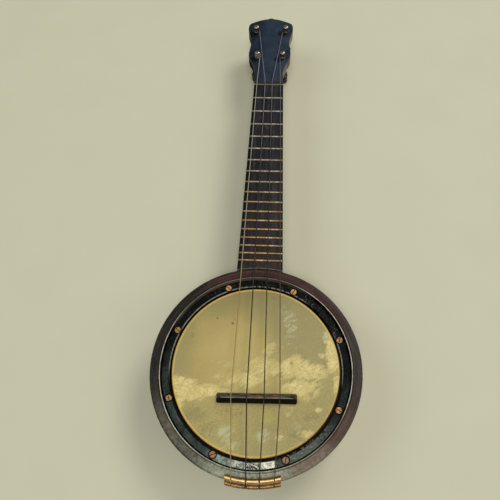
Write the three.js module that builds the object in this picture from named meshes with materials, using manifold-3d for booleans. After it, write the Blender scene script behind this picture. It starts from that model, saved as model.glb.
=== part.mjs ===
// Banjo ukulele in millimetres. +Y runs up the neck, +Z out of the head, and z = 0 is the pot's flat back.
import * as THREE from "three";
import { mergeVertices } from "three/addons/utils/BufferGeometryUtils.js";
import Module from "manifold-3d";

const wasm = await Module();
wasm.setup();

// Clearances and finish of the surfaces
const fitGap = 0.3;
const tangGap = 0.05;
const cutOverrun = 1;
const weldDistance = 1e-4;
const shoulderShare = 0.3;
const roundSides = 48;
const smallSides = 12;

// Pot: its radii follow from the head's outwards
const rimTopWidth = 9.5;
const potDepth = 50;
const potWall = 16.7;
const potEdgeRound = 1.8;
const ledgeSetback = 0.2;
const ledgeThickness = 5;
const screwLandDepth = 8.5;
const beadWidth = 1.2;
const beadDrop = 0.4;
const recessGap = 1.1;

// Closed wooden back
const backPlateThickness = 5;
const backRebateWidth = 6;

// Skin head, its bearing ring and its hoop
const headRadius = 75.6;
const headDrop = 3.4;
const headThickness = 0.5;
const headEdgeRound = 1.6;
const skirtDepth = 8.5;
const bearingWall = 4.4;
const bearingBelowSkirt = 4.5;
const hoopWidth = 2.8;
const hoopHeight = 2.4;

// Metal tension ring and its screws
const ringGap = 1.2;
const ringWidth = 7.3;
const ringThickness = 3;
const ringDrop = 3.2;
const ringLipWidth = 1.3;
const ringBeadHeight = 0.5;
const screwCount = 8;
const screwPatternTurnDegrees = -1.45;
const screwHeadRadius = 2.8;
const screwHeadProud = 0.25;
const screwRimHeight = 0.5;
const screwConeHeight = 1.5;
const screwShankRadius = 1.4;
const screwLength = 17;
const screwSlotWidth = 0.75;
const screwSlotDepth = 0.7;

// Scale, fretboard and frets
const scaleLength = 343;
const lastFretMargin = 8.63;
const bridgeCompensation = 1.05;
const nutWidth = 32.5;
const boardEndWidth = 43.7;
const boardThickness = 4.5;
const fretCount = 17;
const fretWidth = 1.9;
const fretHeight = 1;
const fretInset = 0.25;
const tangWidth = 0.6;
const tangDepth = 1.6;
const fretCrownSides = 6;

// Nut
const nutLength = 3;
const nutRise = 2.5;

// Neck and heel
const neckDepthAtNut = 13;
const neckDepthAtBody = 17;
const heelFloorGap = 6;
const heelLength = 46;
const neckRoundPower = 2.3;
const neckSectionSides = 12;
const neckStations = 14;
const neckTailIntoHeadstock = 16;

// Headstock
const headstockLength = 99.3;
const headstockHalfWidth = 26.6;
// The outline's middle stands this far to the right of the strings' middle
const headstockShift = -0.7;
const headstockCoreThickness = 12;
const faceplateThickness = 2;
const crownPointHalfWidth = 3.6;
const headstockOutlineSteps = 26;
// Half width and distance from the nut, as shares of the headstock's own half width and length
const headstockOutlineShares = [
  [0.6, 0],
  [0.59, 0.1],
  [0.62, 0.18],
  [0.74, 0.3],
  [0.865, 0.37],
  [0.912, 0.43],
  [0.88, 0.515],
  [0.843, 0.6],
  [0.885, 0.7],
  [0.975, 0.79],
  [0.985, 0.86],
  [0.905, 0.91],
  [0.62, 0.95],
  [0.3, 0.98],
  [0, 0.991],
];

// Pegs: the lower pair is placed from the nut's far face and the upper pair from the headstock's crown
const lowerPegSide = 14.4;
const lowerPegDistance = 40.2;
const upperPegSide = 17.2;
const upperPegCrownDistance = 19.9;
const postRadius = 2.9;
const postWaistRadius = 2.3;
const postHeight = 7;
const postDomeHeight = 0.8;
const postHeadHeight = 1.2;
const stringHoleRadius = 0.6;
const bushingFlangeRadius = 4;
const bushingFlangeHeight = 0.8;
const bushingSleeveWall = 0.6;
const bushingSleeveDepth = 6;
const stemRadius = 4.4;
const stemWaistRadius = 3.4;
const stemLength = 14.2;
const buttonHalfLength = 8.5;
const buttonOvalShare = 0.76;
const buttonHeight = 10;
const buttonRound = 1.8;
const buttonSides = 20;
const tenonRadius = 2.1;
const buttonScrewHeadRadius = 3;
const buttonScrewHeadHeight = 1.1;
const buttonScrewSink = 0.3;
const buttonScrewShankRadius = 0.9;
const buttonScrewLength = 5;
const buttonRestTurnsDegrees = [0, 90, 80, 100];

// Dowel stick and the end screw that pulls it home
const dowelSide = 16;
const dowelFloorGap = 12;
const dowelTenon = 10;
const endScrewHeadRadius = 4;
const endScrewHeadHeight = 2.2;
const endScrewShankRadius = 2;
const endScrewBite = 5.3;

// Brass tailpiece: one sheet with two rolled edges
const tailTurnDegrees = 1.42;
const tailWidth = 46.4;
const tailSheet = 1;
const tailFlangeReach = 3.4;
const tailSkirtDepth = 26;
const upperRollRadius = 2.1;
const upperRollInset = 2;
const lowerRollRadius = 1.95;
const lowerRollDrop = 1.4;
const rollSides = 10;
const tailRoundSides = 128;
const tailNotchDepth = 2.1;
const tailScrewHeadRadius = 3;
const tailScrewHeadHeight = 1.5;
const tailScrewShankRadius = 1.5;
const tailScrewGrip = 11;
const tailScrewDrop = 19;

// Bridge
const bridgeLength = 70.4;
const bridgeThickness = 8.4;
const bridgeHeight = 7.5;
const bridgeSideHeight = 2.4;
const bridgeRidgeWidth = 1.4;
const bridgeHipLength = 4.3;
const bridgeCornerRadius = 1.5;
const bridgeCornerSides = 3;
const bridgeSideShift = 2.35;
const bridgeTurnDegrees = 1.5;
const bridgeFootLength = 9;
const bridgeArchHeight = 1.8;
const bridgeArchSides = 8;

// Strings, counted from the left as the photographed face is seen
const stringRadii = [0.36, 0.5, 0.43, 0.36];
const stringWindingTurns = [2.25, 1.75, 2, 2.25];
const stringSides = 6;
const windingSteps = 12;
const windingGap = 0.46;
const nutStringSpan = 26.1;
const nutInnerSpan = 7.8;
const bridgeStringSpan = 42.5;
const bridgeInnerSpan = 15.1;
const bridgeStringLeftShift = 0.85;
const tailStringSpan = 35.9;
const tailInnerSpan = 11.1;
const stringOverFirstFret = 0.6;
const knotRadius = 1.25;

// Heights and places that follow from the sizes above
const ringBoreRadius = headRadius + ringGap;
const ringRadius = ringBoreRadius + ringWidth;
const screwCircleRadius = (ringBoreRadius + ringRadius) / 2;
const recessRadius = ringRadius + recessGap;
const potRadius = recessRadius + rimTopWidth;
const potBoreRadius = potRadius - potWall;
const endScrewGrip = potWall + endScrewBite;
const nutDistance = potRadius + scaleLength * (1 - 2 ** (-fretCount / 12)) + lastFretMargin;
const rimTop = potDepth;
const screwLand = rimTop - screwLandDepth;
const headTop = rimTop - headDrop;
const headUnderside = headTop - headThickness;
const skirtInnerRadius = headRadius - headThickness;
const bearingRadius = skirtInnerRadius - fitGap;
const bearingBoreRadius = bearingRadius - bearingWall;
const ledgeBoreRadius = bearingBoreRadius + ledgeSetback;
const bearingEdgeRound = headEdgeRound + fitGap;
const tuckBottom = headTop - skirtDepth;
const tuckTop = tuckBottom + headThickness;
const ledgeTop = tuckBottom - bearingBelowSkirt;
const ledgeBottom = ledgeTop - ledgeThickness;
const hoopBoreRadius = headRadius + fitGap;
const hoopTop = tuckTop + hoopHeight;
const tuckRadius = hoopBoreRadius + hoopWidth;
const hoopWellRadius = tuckRadius + fitGap;
const ringTop = rimTop - ringDrop;
const ringBottom = ringTop - ringThickness;
const boardTop = rimTop;
const boardBottom = boardTop - boardThickness;
const fretTop = boardTop + fretHeight;
const nutFarFace = nutDistance + nutLength;
const headstockBack = boardBottom - headstockCoreThickness;
const faceTop = boardBottom + faceplateThickness;
const heelFaceRadius = potRadius + fitGap;
const bridgeTop = headTop + bridgeHeight;
const bridgePlace = nutDistance - scaleLength - bridgeCompensation;
const tailTop = rimTop + tailSheet;
const upperRollTop = rimTop + 2 * upperRollRadius;
const upperRollPlace = potRadius - upperRollInset;
const tailPlateInner = potRadius + fitGap;
const tailPlateOuter = tailPlateInner + tailSheet;
const lowerRollPlace = tailPlateInner + lowerRollRadius;
const lowerRollMiddle = rimTop - lowerRollDrop;
const tailScrewHeight = rimTop - tailScrewDrop;
const dowelMiddle = dowelFloorGap + dowelSide / 2;
const shaftBoreRadius = postRadius + fitGap;
const sleeveRadius = shaftBoreRadius + bushingSleeveWall;
const sleeveBottom = faceTop - bushingSleeveDepth;
const postTop = faceTop + postHeight;
const windingBottom = faceTop + bushingFlangeHeight + fitGap;
const stemTop = headstockBack - fitGap;
const stemBottom = stemTop - stemLength;
const buttonTop = stemBottom - fitGap;
const buttonBottom = buttonTop - buttonHeight;
const nutStringPlaces = stringSpread(nutStringSpan, nutInnerSpan);
const bridgeStringSides = stringSpread(bridgeStringSpan, bridgeInnerSpan);
const bridgeStringPlaces = bridgeStringSides.map((x) => x - bridgeStringLeftShift);
const tailStringPlaces = stringSpread(tailStringSpan, tailInnerSpan);

// Places of four strings: the outer pair's whole span, and the inner pair's
function stringSpread(span, innerSpan) {
  return [-span / 2, -innerSpan / 2, innerSpan / 2, span / 2];
}

const materials = {
  rimWood: new THREE.MeshStandardMaterial({ color: 0x3d2c24, roughness: 0.45, metalness: 0 }),
  innerWood: new THREE.MeshStandardMaterial({ color: 0x8a6a48, roughness: 0.7, metalness: 0 }),
  neckWood: new THREE.MeshStandardMaterial({ color: 0x4a3328, roughness: 0.5, metalness: 0 }),
  blackWood: new THREE.MeshStandardMaterial({ color: 0x1d1c1e, roughness: 0.4, metalness: 0 }),
  faceBlack: new THREE.MeshStandardMaterial({ color: 0x222a33, roughness: 0.35, metalness: 0 }),
  vellum: new THREE.MeshStandardMaterial({ color: 0xaaa069, roughness: 0.6, metalness: 0 }),
  ringBlack: new THREE.MeshStandardMaterial({ color: 0x3c4a4a, roughness: 0.45, metalness: 0.7 }),
  copper: new THREE.MeshStandardMaterial({ color: 0x9a6238, roughness: 0.5, metalness: 0.8 }),
  brass: new THREE.MeshStandardMaterial({ color: 0xb98a46, roughness: 0.35, metalness: 0.9 }),
  nickel: new THREE.MeshStandardMaterial({ color: 0xb8b8ae, roughness: 0.25, metalness: 0.95 }),
  fretWire: new THREE.MeshStandardMaterial({ color: 0xb59a60, roughness: 0.4, metalness: 0.9 }),
  bone: new THREE.MeshStandardMaterial({ color: 0x9a968c, roughness: 0.5, metalness: 0 }),
  buttonBlack: new THREE.MeshStandardMaterial({ color: 0x161415, roughness: 0.3, metalness: 0 }),
  paleGut: new THREE.MeshStandardMaterial({ color: 0x9c9474, roughness: 0.4, metalness: 0 }),
  darkGut: new THREE.MeshStandardMaterial({ color: 0x2b2330, roughness: 0.4, metalness: 0 }),
  brownGut: new THREE.MeshStandardMaterial({ color: 0x4a3626, roughness: 0.4, metalness: 0 }),
};

// Shared geometry tools

// Positions only, with shared vertices joined and collapsed triangles left out.
function weld(geometry) {
  const loose = geometry.index ? geometry.toNonIndexed() : geometry;
  const bare = new THREE.BufferGeometry().setAttribute("position", loose.getAttribute("position"));
  const joined = mergeVertices(bare, weldDistance);
  const corners = joined.index.array;
  const kept = [];
  for (let i = 0; i < corners.length; i += 3) {
    const [a, b, c] = corners.slice(i, i + 3);
    if (a !== b && b !== c && c !== a) kept.push(a, b, c);
  }
  const vertProperties = new Float32Array(joined.attributes.position.array);
  return { vertProperties, triVerts: new Uint32Array(kept) };
}

function solid(geometry) {
  return new wasm.Manifold(new wasm.Mesh({ numProp: 3, ...weld(geometry) }));
}

function geometryOf(body) {
  const { vertProperties, triVerts } = body.getMesh();
  const indexed = new THREE.BufferGeometry()
    .setAttribute("position", new THREE.BufferAttribute(new Float32Array(vertProperties), 3))
    .setIndex(new THREE.BufferAttribute(new Uint32Array(triVerts), 1));
  const faceted = indexed.toNonIndexed();
  faceted.computeVertexNormals();
  return faceted;
}

// A profile of [radius, height] pairs turned round Z. It runs up the outside and down the inside.
function turned(profile, sides = roundSides) {
  const points = profile.map(([radius, height]) => new THREE.Vector2(radius, height));
  return solid(new THREE.LatheGeometry(points, sides).rotateX(Math.PI / 2));
}

function turnedRing(profile, sides = roundSides) {
  return turned([...profile, profile[0]], sides);
}

function cylinder(radius, bottom, top, sides = smallSides) {
  return turned([[0, bottom], [radius, bottom], [radius, top], [0, top]], sides);
}

// A flat outline of [x, y] pairs raised from bottom to top.
function raised(outline, bottom, top) {
  const shape = new THREE.Shape(outline.map(([x, y]) => new THREE.Vector2(x, y)));
  const settings = { depth: top - bottom, bevelEnabled: false };
  return solid(new THREE.ExtrudeGeometry(shape, settings).translate(0, 0, bottom));
}

function block([x0, x1], [y0, y1], [z0, z1]) {
  const box = new THREE.BoxGeometry(x1 - x0, y1 - y0, z1 - z0);
  return solid(box.translate((x0 + x1) / 2, (y0 + y1) / 2, (z0 + z1) / 2));
}

// Rings of points with equal counts, joined in turn and capped with fans.
function loftGeometry(rings) {
  const count = rings[0].length;
  const positions = rings.flat().flatMap((p) => [p.x, p.y, p.z]);
  const faces = [];
  for (let r = 0; r + 1 < rings.length; r += 1) {
    for (let i = 0; i < count; i += 1) {
      const a = r * count + i;
      const b = r * count + ((i + 1) % count);
      faces.push(a, b, a + count, b, b + count, a + count);
    }
  }
  const last = (rings.length - 1) * count;
  for (let i = 1; i + 1 < count; i += 1) {
    faces.push(0, i + 1, i);
    faces.push(last, last + i, last + i + 1);
  }
  return new THREE.BufferGeometry()
    .setAttribute("position", new THREE.Float32BufferAttribute(positions, 3))
    .setIndex(faces);
}

// A round tube through the points, mitred at each of them.
function tubeGeometry(points, radius, sides) {
  const directions = points.map((point, i) => {
    const before = points[Math.max(i - 1, 0)];
    const after = points[Math.min(i + 1, points.length - 1)];
    return after.clone().sub(before).normalize();
  });
  const side = new THREE.Vector3(1, 0, 0);
  const rings = points.map((point, i) => {
    const along = directions[i];
    side.addScaledVector(along, -side.dot(along)).normalize();
    const up = along.clone().cross(side);
    return Array.from({ length: sides }, (unused, k) => {
      const angle = (2 * Math.PI * k) / sides;
      return point
        .clone()
        .addScaledVector(side, radius * Math.cos(angle))
        .addScaledVector(up, radius * Math.sin(angle));
    });
  });
  return loftGeometry(rings);
}

const part = new THREE.Group();

function add(name, body, material, parent = part) {
  const mesh = new THREE.Mesh(geometryOf(body), material);
  mesh.name = name;
  parent.add(mesh);
  return mesh;
}

// Where the screws go through the ring, as angles round the pot
const screwAngles = Array.from({ length: screwCount }, (unused, i) => {
  const firstAngle = Math.PI / screwCount + THREE.MathUtils.degToRad(screwPatternTurnDegrees);
  return firstAngle + (i * 2 * Math.PI) / screwCount;
});

function atScrews(cutter) {
  return screwAngles.map((angle) =>
    cutter.translate([screwCircleRadius * Math.cos(angle), screwCircleRadius * Math.sin(angle), 0]),
  );
}

function cutAll(body, cutters) {
  return cutters.reduce((left, cutter) => left.subtract(cutter), body);
}

// A square passage or bar along the neck
function squareBar(half, from, to) {
  return block([-half, half], [from, to], [dowelMiddle - half, dowelMiddle + half]);
}

// A round bar along Y at a height, from one distance to another
function barAlongNeck(radius, height, from, to) {
  return cylinder(radius, from, to).rotate([-90, 0, 0]).translate([0, 0, height]);
}

// The tailpiece's own frame: turned a little round the pot from -Y
function turnedToTail(body) {
  return body.rotate([0, 0, tailTurnDegrees]);
}

function makePotRim() {
  const edge = potEdgeRound;
  const shoulder = edge * shoulderShare;
  const beadOuter = recessRadius + beadWidth;
  const profile = [
    [potRadius - edge, 0],
    [potRadius - shoulder, shoulder],
    [potRadius, edge],
    [potRadius, rimTop - edge],
    [potRadius - shoulder, rimTop - shoulder],
    [potRadius - edge, rimTop],
    [beadOuter, rimTop],
    [beadOuter, rimTop - beadDrop],
    [recessRadius + beadDrop, rimTop - beadDrop],
    [recessRadius, rimTop - 2 * beadDrop],
    [recessRadius, screwLand],
    [hoopWellRadius, screwLand],
    [hoopWellRadius, ledgeTop],
    [ledgeBoreRadius, ledgeTop],
    [ledgeBoreRadius, ledgeBottom],
    [potBoreRadius, ledgeBottom],
    [potBoreRadius, backPlateThickness],
    [potBoreRadius + backRebateWidth, backPlateThickness],
    [potBoreRadius + backRebateWidth, 0],
  ];
  const screwHoleBottom = ringTop - screwLength - cutOverrun;
  const screwHoles = atScrews(cylinder(screwShankRadius + fitGap, screwHoleBottom, rimTop));
  const dowelHole = squareBar(dowelSide / 2 + fitGap, potBoreRadius / 2, potRadius + cutOverrun);
  const outside = -potRadius - cutOverrun;
  const endHole = barAlongNeck(endScrewShankRadius + fitGap, dowelMiddle, outside, -potBoreRadius / 2);
  const tailHoleEnd = -tailPlateOuter + tailScrewGrip + cutOverrun;
  const tailHole = barAlongNeck(tailScrewShankRadius + fitGap, tailScrewHeight, outside, tailHoleEnd);
  return cutAll(turnedRing(profile), [...screwHoles, dowelHole, endHole, turnedToTail(tailHole)]);
}

function makeBackPlate() {
  return cylinder(potBoreRadius + backRebateWidth - fitGap, 0, backPlateThickness, roundSides);
}

function makeBearingRing() {
  return turnedRing([
    [bearingRadius, ledgeTop],
    [bearingRadius, headUnderside - bearingEdgeRound],
    [bearingRadius - bearingEdgeRound, headUnderside],
    [bearingBoreRadius + bearingEdgeRound, headUnderside],
    [bearingBoreRadius, headUnderside - bearingEdgeRound],
    [bearingBoreRadius, ledgeTop],
  ]);
}

function makeHead() {
  const round = headEdgeRound;
  const shoulder = round * shoulderShare;
  return turned([
    [0, headUnderside],
    [bearingRadius - round, headUnderside],
    [skirtInnerRadius - shoulder, headUnderside - shoulder],
    [skirtInnerRadius, headUnderside - round],
    [skirtInnerRadius, tuckBottom],
    [tuckRadius, tuckBottom],
    [tuckRadius, tuckTop],
    [headRadius, tuckTop],
    [headRadius, headTop - round],
    [headRadius - shoulder, headTop - shoulder],
    [headRadius - round, headTop],
    [0, headTop],
  ]);
}

function makeFleshHoop() {
  return turnedRing([
    [hoopBoreRadius, tuckTop],
    [tuckRadius, tuckTop],
    [tuckRadius, hoopTop],
    [hoopBoreRadius, hoopTop],
  ]);
}

function makeTensionRing() {
  const lipOuter = ringBoreRadius + ringLipWidth;
  const beadTop = ringTop + ringBeadHeight;
  const body = turnedRing([
    [ringBoreRadius, hoopTop],
    [lipOuter, hoopTop],
    [lipOuter, ringBottom],
    [ringRadius, ringBottom],
    [ringRadius, ringTop - ringBeadHeight],
    [ringRadius - ringBeadHeight, ringTop],
    [lipOuter, ringTop],
    [lipOuter - ringBeadHeight, beadTop],
    [ringBoreRadius + ringBeadHeight, beadTop],
    [ringBoreRadius, ringTop],
  ]);
  return cutAll(body, atScrews(turned(screwProfile(fitGap, ringBottom - cutOverrun), smallSides)));
}

// The screw's outline, grown by a gap where it is the hole's
function screwProfile(gap, bottom) {
  const headTopHeight = ringTop + screwHeadProud;
  const rimBottom = headTopHeight - screwRimHeight;
  const coneBottom = rimBottom - screwConeHeight;
  return [
    [0, bottom],
    [screwShankRadius + gap, bottom],
    [screwShankRadius + gap, coneBottom - gap],
    [screwHeadRadius + gap, rimBottom - gap],
    [screwHeadRadius + gap, headTopHeight],
    [0, headTopHeight],
  ];
}

function makeTensionScrew() {
  const body = turned(screwProfile(0, ringTop - screwLength), smallSides);
  const slot = screwSlot(screwHeadRadius, ringTop + screwHeadProud, screwSlotWidth, screwSlotDepth);
  return body.subtract(slot);
}

// A driver slot across the top of a head
function screwSlot(headReach, top, width, depth) {
  const reach = headReach + cutOverrun;
  return block([-reach, reach], [-width / 2, width / 2], [top - depth, top + cutOverrun]);
}

// Half the board's width at a distance from the pot's centre
function boardHalfWidth(distance) {
  const share = (nutDistance - distance) / (nutDistance - potRadius);
  return (nutWidth + (boardEndWidth - nutWidth) * share) / 2;
}

function fretDistance(number) {
  return nutDistance - scaleLength * (1 - 2 ** (-number / 12));
}

function makeFretboard() {
  const inner = potRadius - boardEndWidth / 2;
  const outline = [
    [-boardHalfWidth(inner), inner],
    [boardHalfWidth(inner), inner],
    [nutWidth / 2, nutDistance],
    [-nutWidth / 2, nutDistance],
  ];
  const potSpace = cylinder(heelFaceRadius, boardBottom - cutOverrun, boardTop + cutOverrun, roundSides);
  const slotHeights = [boardTop - tangDepth - tangGap, boardTop + cutOverrun];
  const slots = Array.from({ length: fretCount }, (unused, i) => {
    const middle = fretDistance(i + 1);
    const half = tangWidth / 2 + tangGap;
    const reach = boardHalfWidth(middle) + cutOverrun;
    return block([-reach, reach], [middle - half, middle + half], slotHeights);
  });
  return cutAll(raised(outline, boardBottom, boardTop), [potSpace, ...slots]);
}

// A crown of half-oval section with a tang under it
function makeFret(number) {
  const middle = fretDistance(number);
  const half = boardHalfWidth(middle) - fretInset;
  const crown = Array.from({ length: fretCrownSides + 1 }, (unused, i) => {
    const angle = (Math.PI * i) / fretCrownSides;
    return [(fretWidth / 2) * Math.cos(angle), boardTop + fretHeight * Math.sin(angle)];
  });
  const tang = [
    [-tangWidth / 2, boardTop],
    [-tangWidth / 2, boardTop - tangDepth],
    [tangWidth / 2, boardTop - tangDepth],
    [tangWidth / 2, boardTop],
  ];
  return raised([...crown, ...tang], -half, half)
    .rotate([90, 0, 90])
    .translate([0, middle, 0]);
}

function stringHeightAtNut(i) {
  return fretTop + stringOverFirstFret + stringRadii[i];
}

// A notch for one string: open above, rounded off by the string's own clearance below
function stringNotch(i, x, [from, to], centreHeight, top) {
  const half = stringRadii[i] + fitGap;
  return block([x - half, x + half], [from, to], [centreHeight - half, top + cutOverrun]);
}

function makeNut() {
  const half = nutWidth / 2;
  const top = boardTop + nutRise;
  const body = block([-half, half], [nutDistance, nutFarFace], [boardBottom, top]);
  const along = [nutDistance - cutOverrun, nutFarFace + cutOverrun];
  const notches = nutStringPlaces.map((x, i) => stringNotch(i, x, along, stringHeightAtNut(i), top));
  return cutAll(body, notches);
}

// Half of the headstock's outline as a smooth line from the nut to the crown, mirrored for the other half
function headstockOutline() {
  const guide = headstockOutlineShares.map(
    ([widthShare, lengthShare]) =>
      new THREE.Vector2(widthShare * headstockHalfWidth, nutFarFace + lengthShare * headstockLength),
  );
  const crown = nutFarFace + headstockLength;
  const smooth = new THREE.SplineCurve(guide).getPoints(headstockOutlineSteps);
  const right = smooth.slice(0, -1).map((p) => [Math.max(p.x, crownPointHalfWidth), p.y]);
  const left = right.map(([x, y]) => [-x, y]).reverse();
  return [...right, [0, crown], ...left].map(([x, y]) => [x + headstockShift, y]);
}

const lowerPegPlace = nutFarFace + lowerPegDistance;
const upperPegPlace = nutFarFace + headstockLength - upperPegCrownDistance;
const pegs = [
  { x: -lowerPegSide, y: lowerPegPlace, windSide: 1 },
  { x: -upperPegSide, y: upperPegPlace, windSide: 1 },
  { x: upperPegSide, y: upperPegPlace, windSide: -1 },
  { x: lowerPegSide, y: lowerPegPlace, windSide: -1 },
];

function atPegs(cutter) {
  return pegs.map(({ x, y }) => cutter.translate([x, y, 0]));
}

function makeFaceplate() {
  const holes = atPegs(cylinder(sleeveRadius + fitGap, boardBottom - cutOverrun, faceTop + cutOverrun));
  return cutAll(raised(headstockOutline(), boardBottom, faceTop), holes);
}

// One D-shaped section of the neck, flat side up
function neckSection(distance, halfWidth, depth) {
  return Array.from({ length: neckSectionSides + 1 }, (unused, i) => {
    const angle = Math.PI + (Math.PI * i) / neckSectionSides;
    const across = Math.sign(Math.cos(angle)) * Math.abs(Math.cos(angle)) ** (2 / neckRoundPower);
    const down = Math.abs(Math.sin(angle)) ** (2 / neckRoundPower);
    return new THREE.Vector3(halfWidth * across, distance, boardBottom - depth * down);
  });
}

function neckDepthAt(distance) {
  const along = THREE.MathUtils.clamp((distance - potRadius) / (nutFarFace - potRadius), 0, 1);
  const shaft = THREE.MathUtils.lerp(neckDepthAtBody, neckDepthAtNut, along);
  const heel = 1 - THREE.MathUtils.smoothstep(distance, potRadius, potRadius + heelLength);
  const head = THREE.MathUtils.smoothstep(distance, nutFarFace, nutFarFace + neckTailIntoHeadstock);
  const heelDepth = boardBottom - heelFloorGap - neckDepthAtBody;
  return shaft + heelDepth * heel - (neckDepthAtNut - headstockCoreThickness / 2) * head;
}

function makeNeck() {
  const start = potRadius - boardEndWidth / 4;
  const end = nutFarFace + neckTailIntoHeadstock;
  const rings = Array.from({ length: neckStations }, (unused, i) => {
    const share = i / (neckStations - 1);
    const distance = start + (end - start) * share ** 2;
    return neckSection(distance, boardHalfWidth(distance), neckDepthAt(distance));
  });
  const shaft = solid(loftGeometry(rings.reverse()));
  const core = raised(headstockOutline(), headstockBack, boardBottom);
  const potSpace = cylinder(heelFaceRadius, -cutOverrun, boardTop, roundSides);
  const mortise = squareBar(dowelSide / 2 + fitGap, potBoreRadius, potRadius + dowelTenon + fitGap);
  const sleeveHoles = atPegs(cylinder(sleeveRadius + fitGap, sleeveBottom - fitGap, boardTop));
  const shaftHoles = atPegs(cylinder(shaftBoreRadius, headstockBack - cutOverrun, boardTop));
  return cutAll(shaft.add(core), [potSpace, mortise, ...sleeveHoles, ...shaftHoles]);
}

// The dowel's tail end stops where its corners clear the round bore
function makeDowelStick() {
  const half = dowelSide / 2;
  const tailEnd = -Math.sqrt((potBoreRadius - fitGap) ** 2 - half ** 2);
  const holeEnd = -potRadius + endScrewGrip + cutOverrun;
  const hole = barAlongNeck(endScrewShankRadius + fitGap, dowelMiddle, -potBoreRadius, holeEnd);
  return squareBar(half, tailEnd, potRadius + dowelTenon).subtract(hole);
}

// A slotted screw seen from its head, with the head's underside at z = 0 and the shank below it
function slottedScrew(headRadius, headHeight, shankRadius, shankLength) {
  const edge = headHeight / 3;
  const body = turned(
    [
      [0, -shankLength],
      [shankRadius, -shankLength],
      [shankRadius, 0],
      [headRadius, 0],
      [headRadius, headHeight - edge],
      [headRadius - edge, headHeight],
      [0, headHeight],
    ],
    smallSides,
  );
  return body.subtract(screwSlot(headRadius, headHeight, headHeight / 2, headHeight / 2));
}

function makeEndScrew() {
  const seat = -potRadius - fitGap;
  return slottedScrew(endScrewHeadRadius, endScrewHeadHeight, endScrewShankRadius, endScrewGrip)
    .rotate([90, 0, 0])
    .translate([0, seat, dowelMiddle]);
}

function makeTailScrew() {
  const seat = -tailPlateOuter - fitGap;
  const screw = slottedScrew(tailScrewHeadRadius, tailScrewHeadHeight, tailScrewShankRadius, tailScrewGrip);
  return turnedToTail(screw.rotate([90, 0, 0]).translate([0, seat, tailScrewHeight]));
}

function rollProfile(place, middle, radius) {
  return Array.from({ length: rollSides }, (unused, i) => {
    const angle = (2 * Math.PI * i) / rollSides;
    return [place + radius * Math.cos(angle), middle + radius * Math.sin(angle)];
  });
}

// The place along Y, at the tail, of a point on a circle round the pot's axis
function tailY(x, radius) {
  return -Math.sqrt(radius ** 2 - x ** 2);
}

function makeTailpiece() {
  const skirtBottom = rimTop - tailSkirtDepth;
  const sheet = turnedRing(
    [
      [tailPlateInner, skirtBottom],
      [tailPlateOuter, skirtBottom],
      [tailPlateOuter, tailTop],
      [potRadius - tailFlangeReach, tailTop],
      [potRadius - tailFlangeReach, rimTop],
      [tailPlateInner, rimTop],
    ],
    tailRoundSides,
  );
  const upperProfile = rollProfile(upperRollPlace, rimTop + upperRollRadius, upperRollRadius);
  const lowerProfile = rollProfile(lowerRollPlace, lowerRollMiddle, lowerRollRadius);
  const rolls = turnedRing(upperProfile, tailRoundSides).add(turnedRing(lowerProfile, tailRoundSides));
  const half = tailWidth / 2;
  const outside = -lowerRollPlace - lowerRollRadius - cutOverrun;
  const inside = -potRadius / 2;
  const keepHeights = [skirtBottom - cutOverrun, upperRollTop + cutOverrun];
  const keep = block([-half, half], [outside, inside], keepHeights);
  const notches = tailStringPlaces.flatMap((x, i) => {
    const across = stringRadii[i] + fitGap;
    const lowerNotchEnd = tailY(x, tailPlateOuter + fitGap);
    return [
      stringNotch(i, x, [-lowerRollPlace, inside], stringHeightAtTail(i), upperRollTop),
      block([x - across, x + across], [outside, lowerNotchEnd], [skirtBottom, upperRollTop]),
    ];
  });
  const screwHole = barAlongNeck(tailScrewShankRadius + fitGap, tailScrewHeight, outside, inside);
  return turnedToTail(cutAll(sheet.add(rolls).intersect(keep), [...notches, screwHole]));
}

function stringHeightAtTail(i) {
  return upperRollTop - tailNotchDepth + stringRadii[i] + fitGap;
}

// The bridge's own frame: turned a little and a little off the pot's middle
function turnedToBridge(body) {
  return body.rotate([0, 0, bridgeTurnDegrees]).translate([bridgeSideShift, bridgePlace, 0]);
}

// A rounded rectangle of points round the bridge's middle
function bridgeRing(length, thickness, corner, height) {
  const quarters = [[1, 1, 0], [-1, 1, 1], [-1, -1, 2], [1, -1, 3]];
  return quarters.flatMap(([sideX, sideY, turn]) =>
    Array.from({ length: bridgeCornerSides + 1 }, (unused, i) => {
      const angle = (Math.PI / 2) * (turn + i / bridgeCornerSides);
      const x = sideX * (length / 2 - corner) + corner * Math.cos(angle);
      const y = sideY * (thickness / 2 - corner) + corner * Math.sin(angle);
      return new THREE.Vector3(x, y, height);
    }),
  );
}

function makeBridge() {
  const ridgeLength = bridgeLength - 2 * bridgeHipLength;
  const ridgeCorner = bridgeRidgeWidth / 3;
  const rings = [
    bridgeRing(bridgeLength, bridgeThickness, bridgeCornerRadius, headTop),
    bridgeRing(bridgeLength, bridgeThickness, bridgeCornerRadius, headTop + bridgeSideHeight),
    bridgeRing(ridgeLength, bridgeRidgeWidth, ridgeCorner, bridgeTop),
  ];
  const ends = [-bridgeThickness, bridgeThickness];
  const notches = bridgeStringPlaces.map((x, i) => stringNotch(i, x, ends, bridgeTop, bridgeTop));
  const archLength = (bridgeLength - 3 * bridgeFootLength) / 2;
  const curve = Array.from({ length: bridgeArchSides + 1 }, (unused, i) => {
    const angle = (Math.PI * i) / bridgeArchSides;
    return [(archLength / 2) * Math.cos(angle), bridgeArchHeight * Math.sin(angle)];
  });
  const arch = [...curve, [-archLength / 2, -cutOverrun], [archLength / 2, -cutOverrun]];
  const archMiddle = (archLength + bridgeFootLength) / 2;
  const arches = [-archMiddle, archMiddle].map((x) =>
    raised(arch, -bridgeThickness, bridgeThickness).rotate([90, 0, 0]).translate([x, 0, headTop]),
  );
  return turnedToBridge(cutAll(solid(loftGeometry(rings)), [...notches, ...arches]));
}

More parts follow.
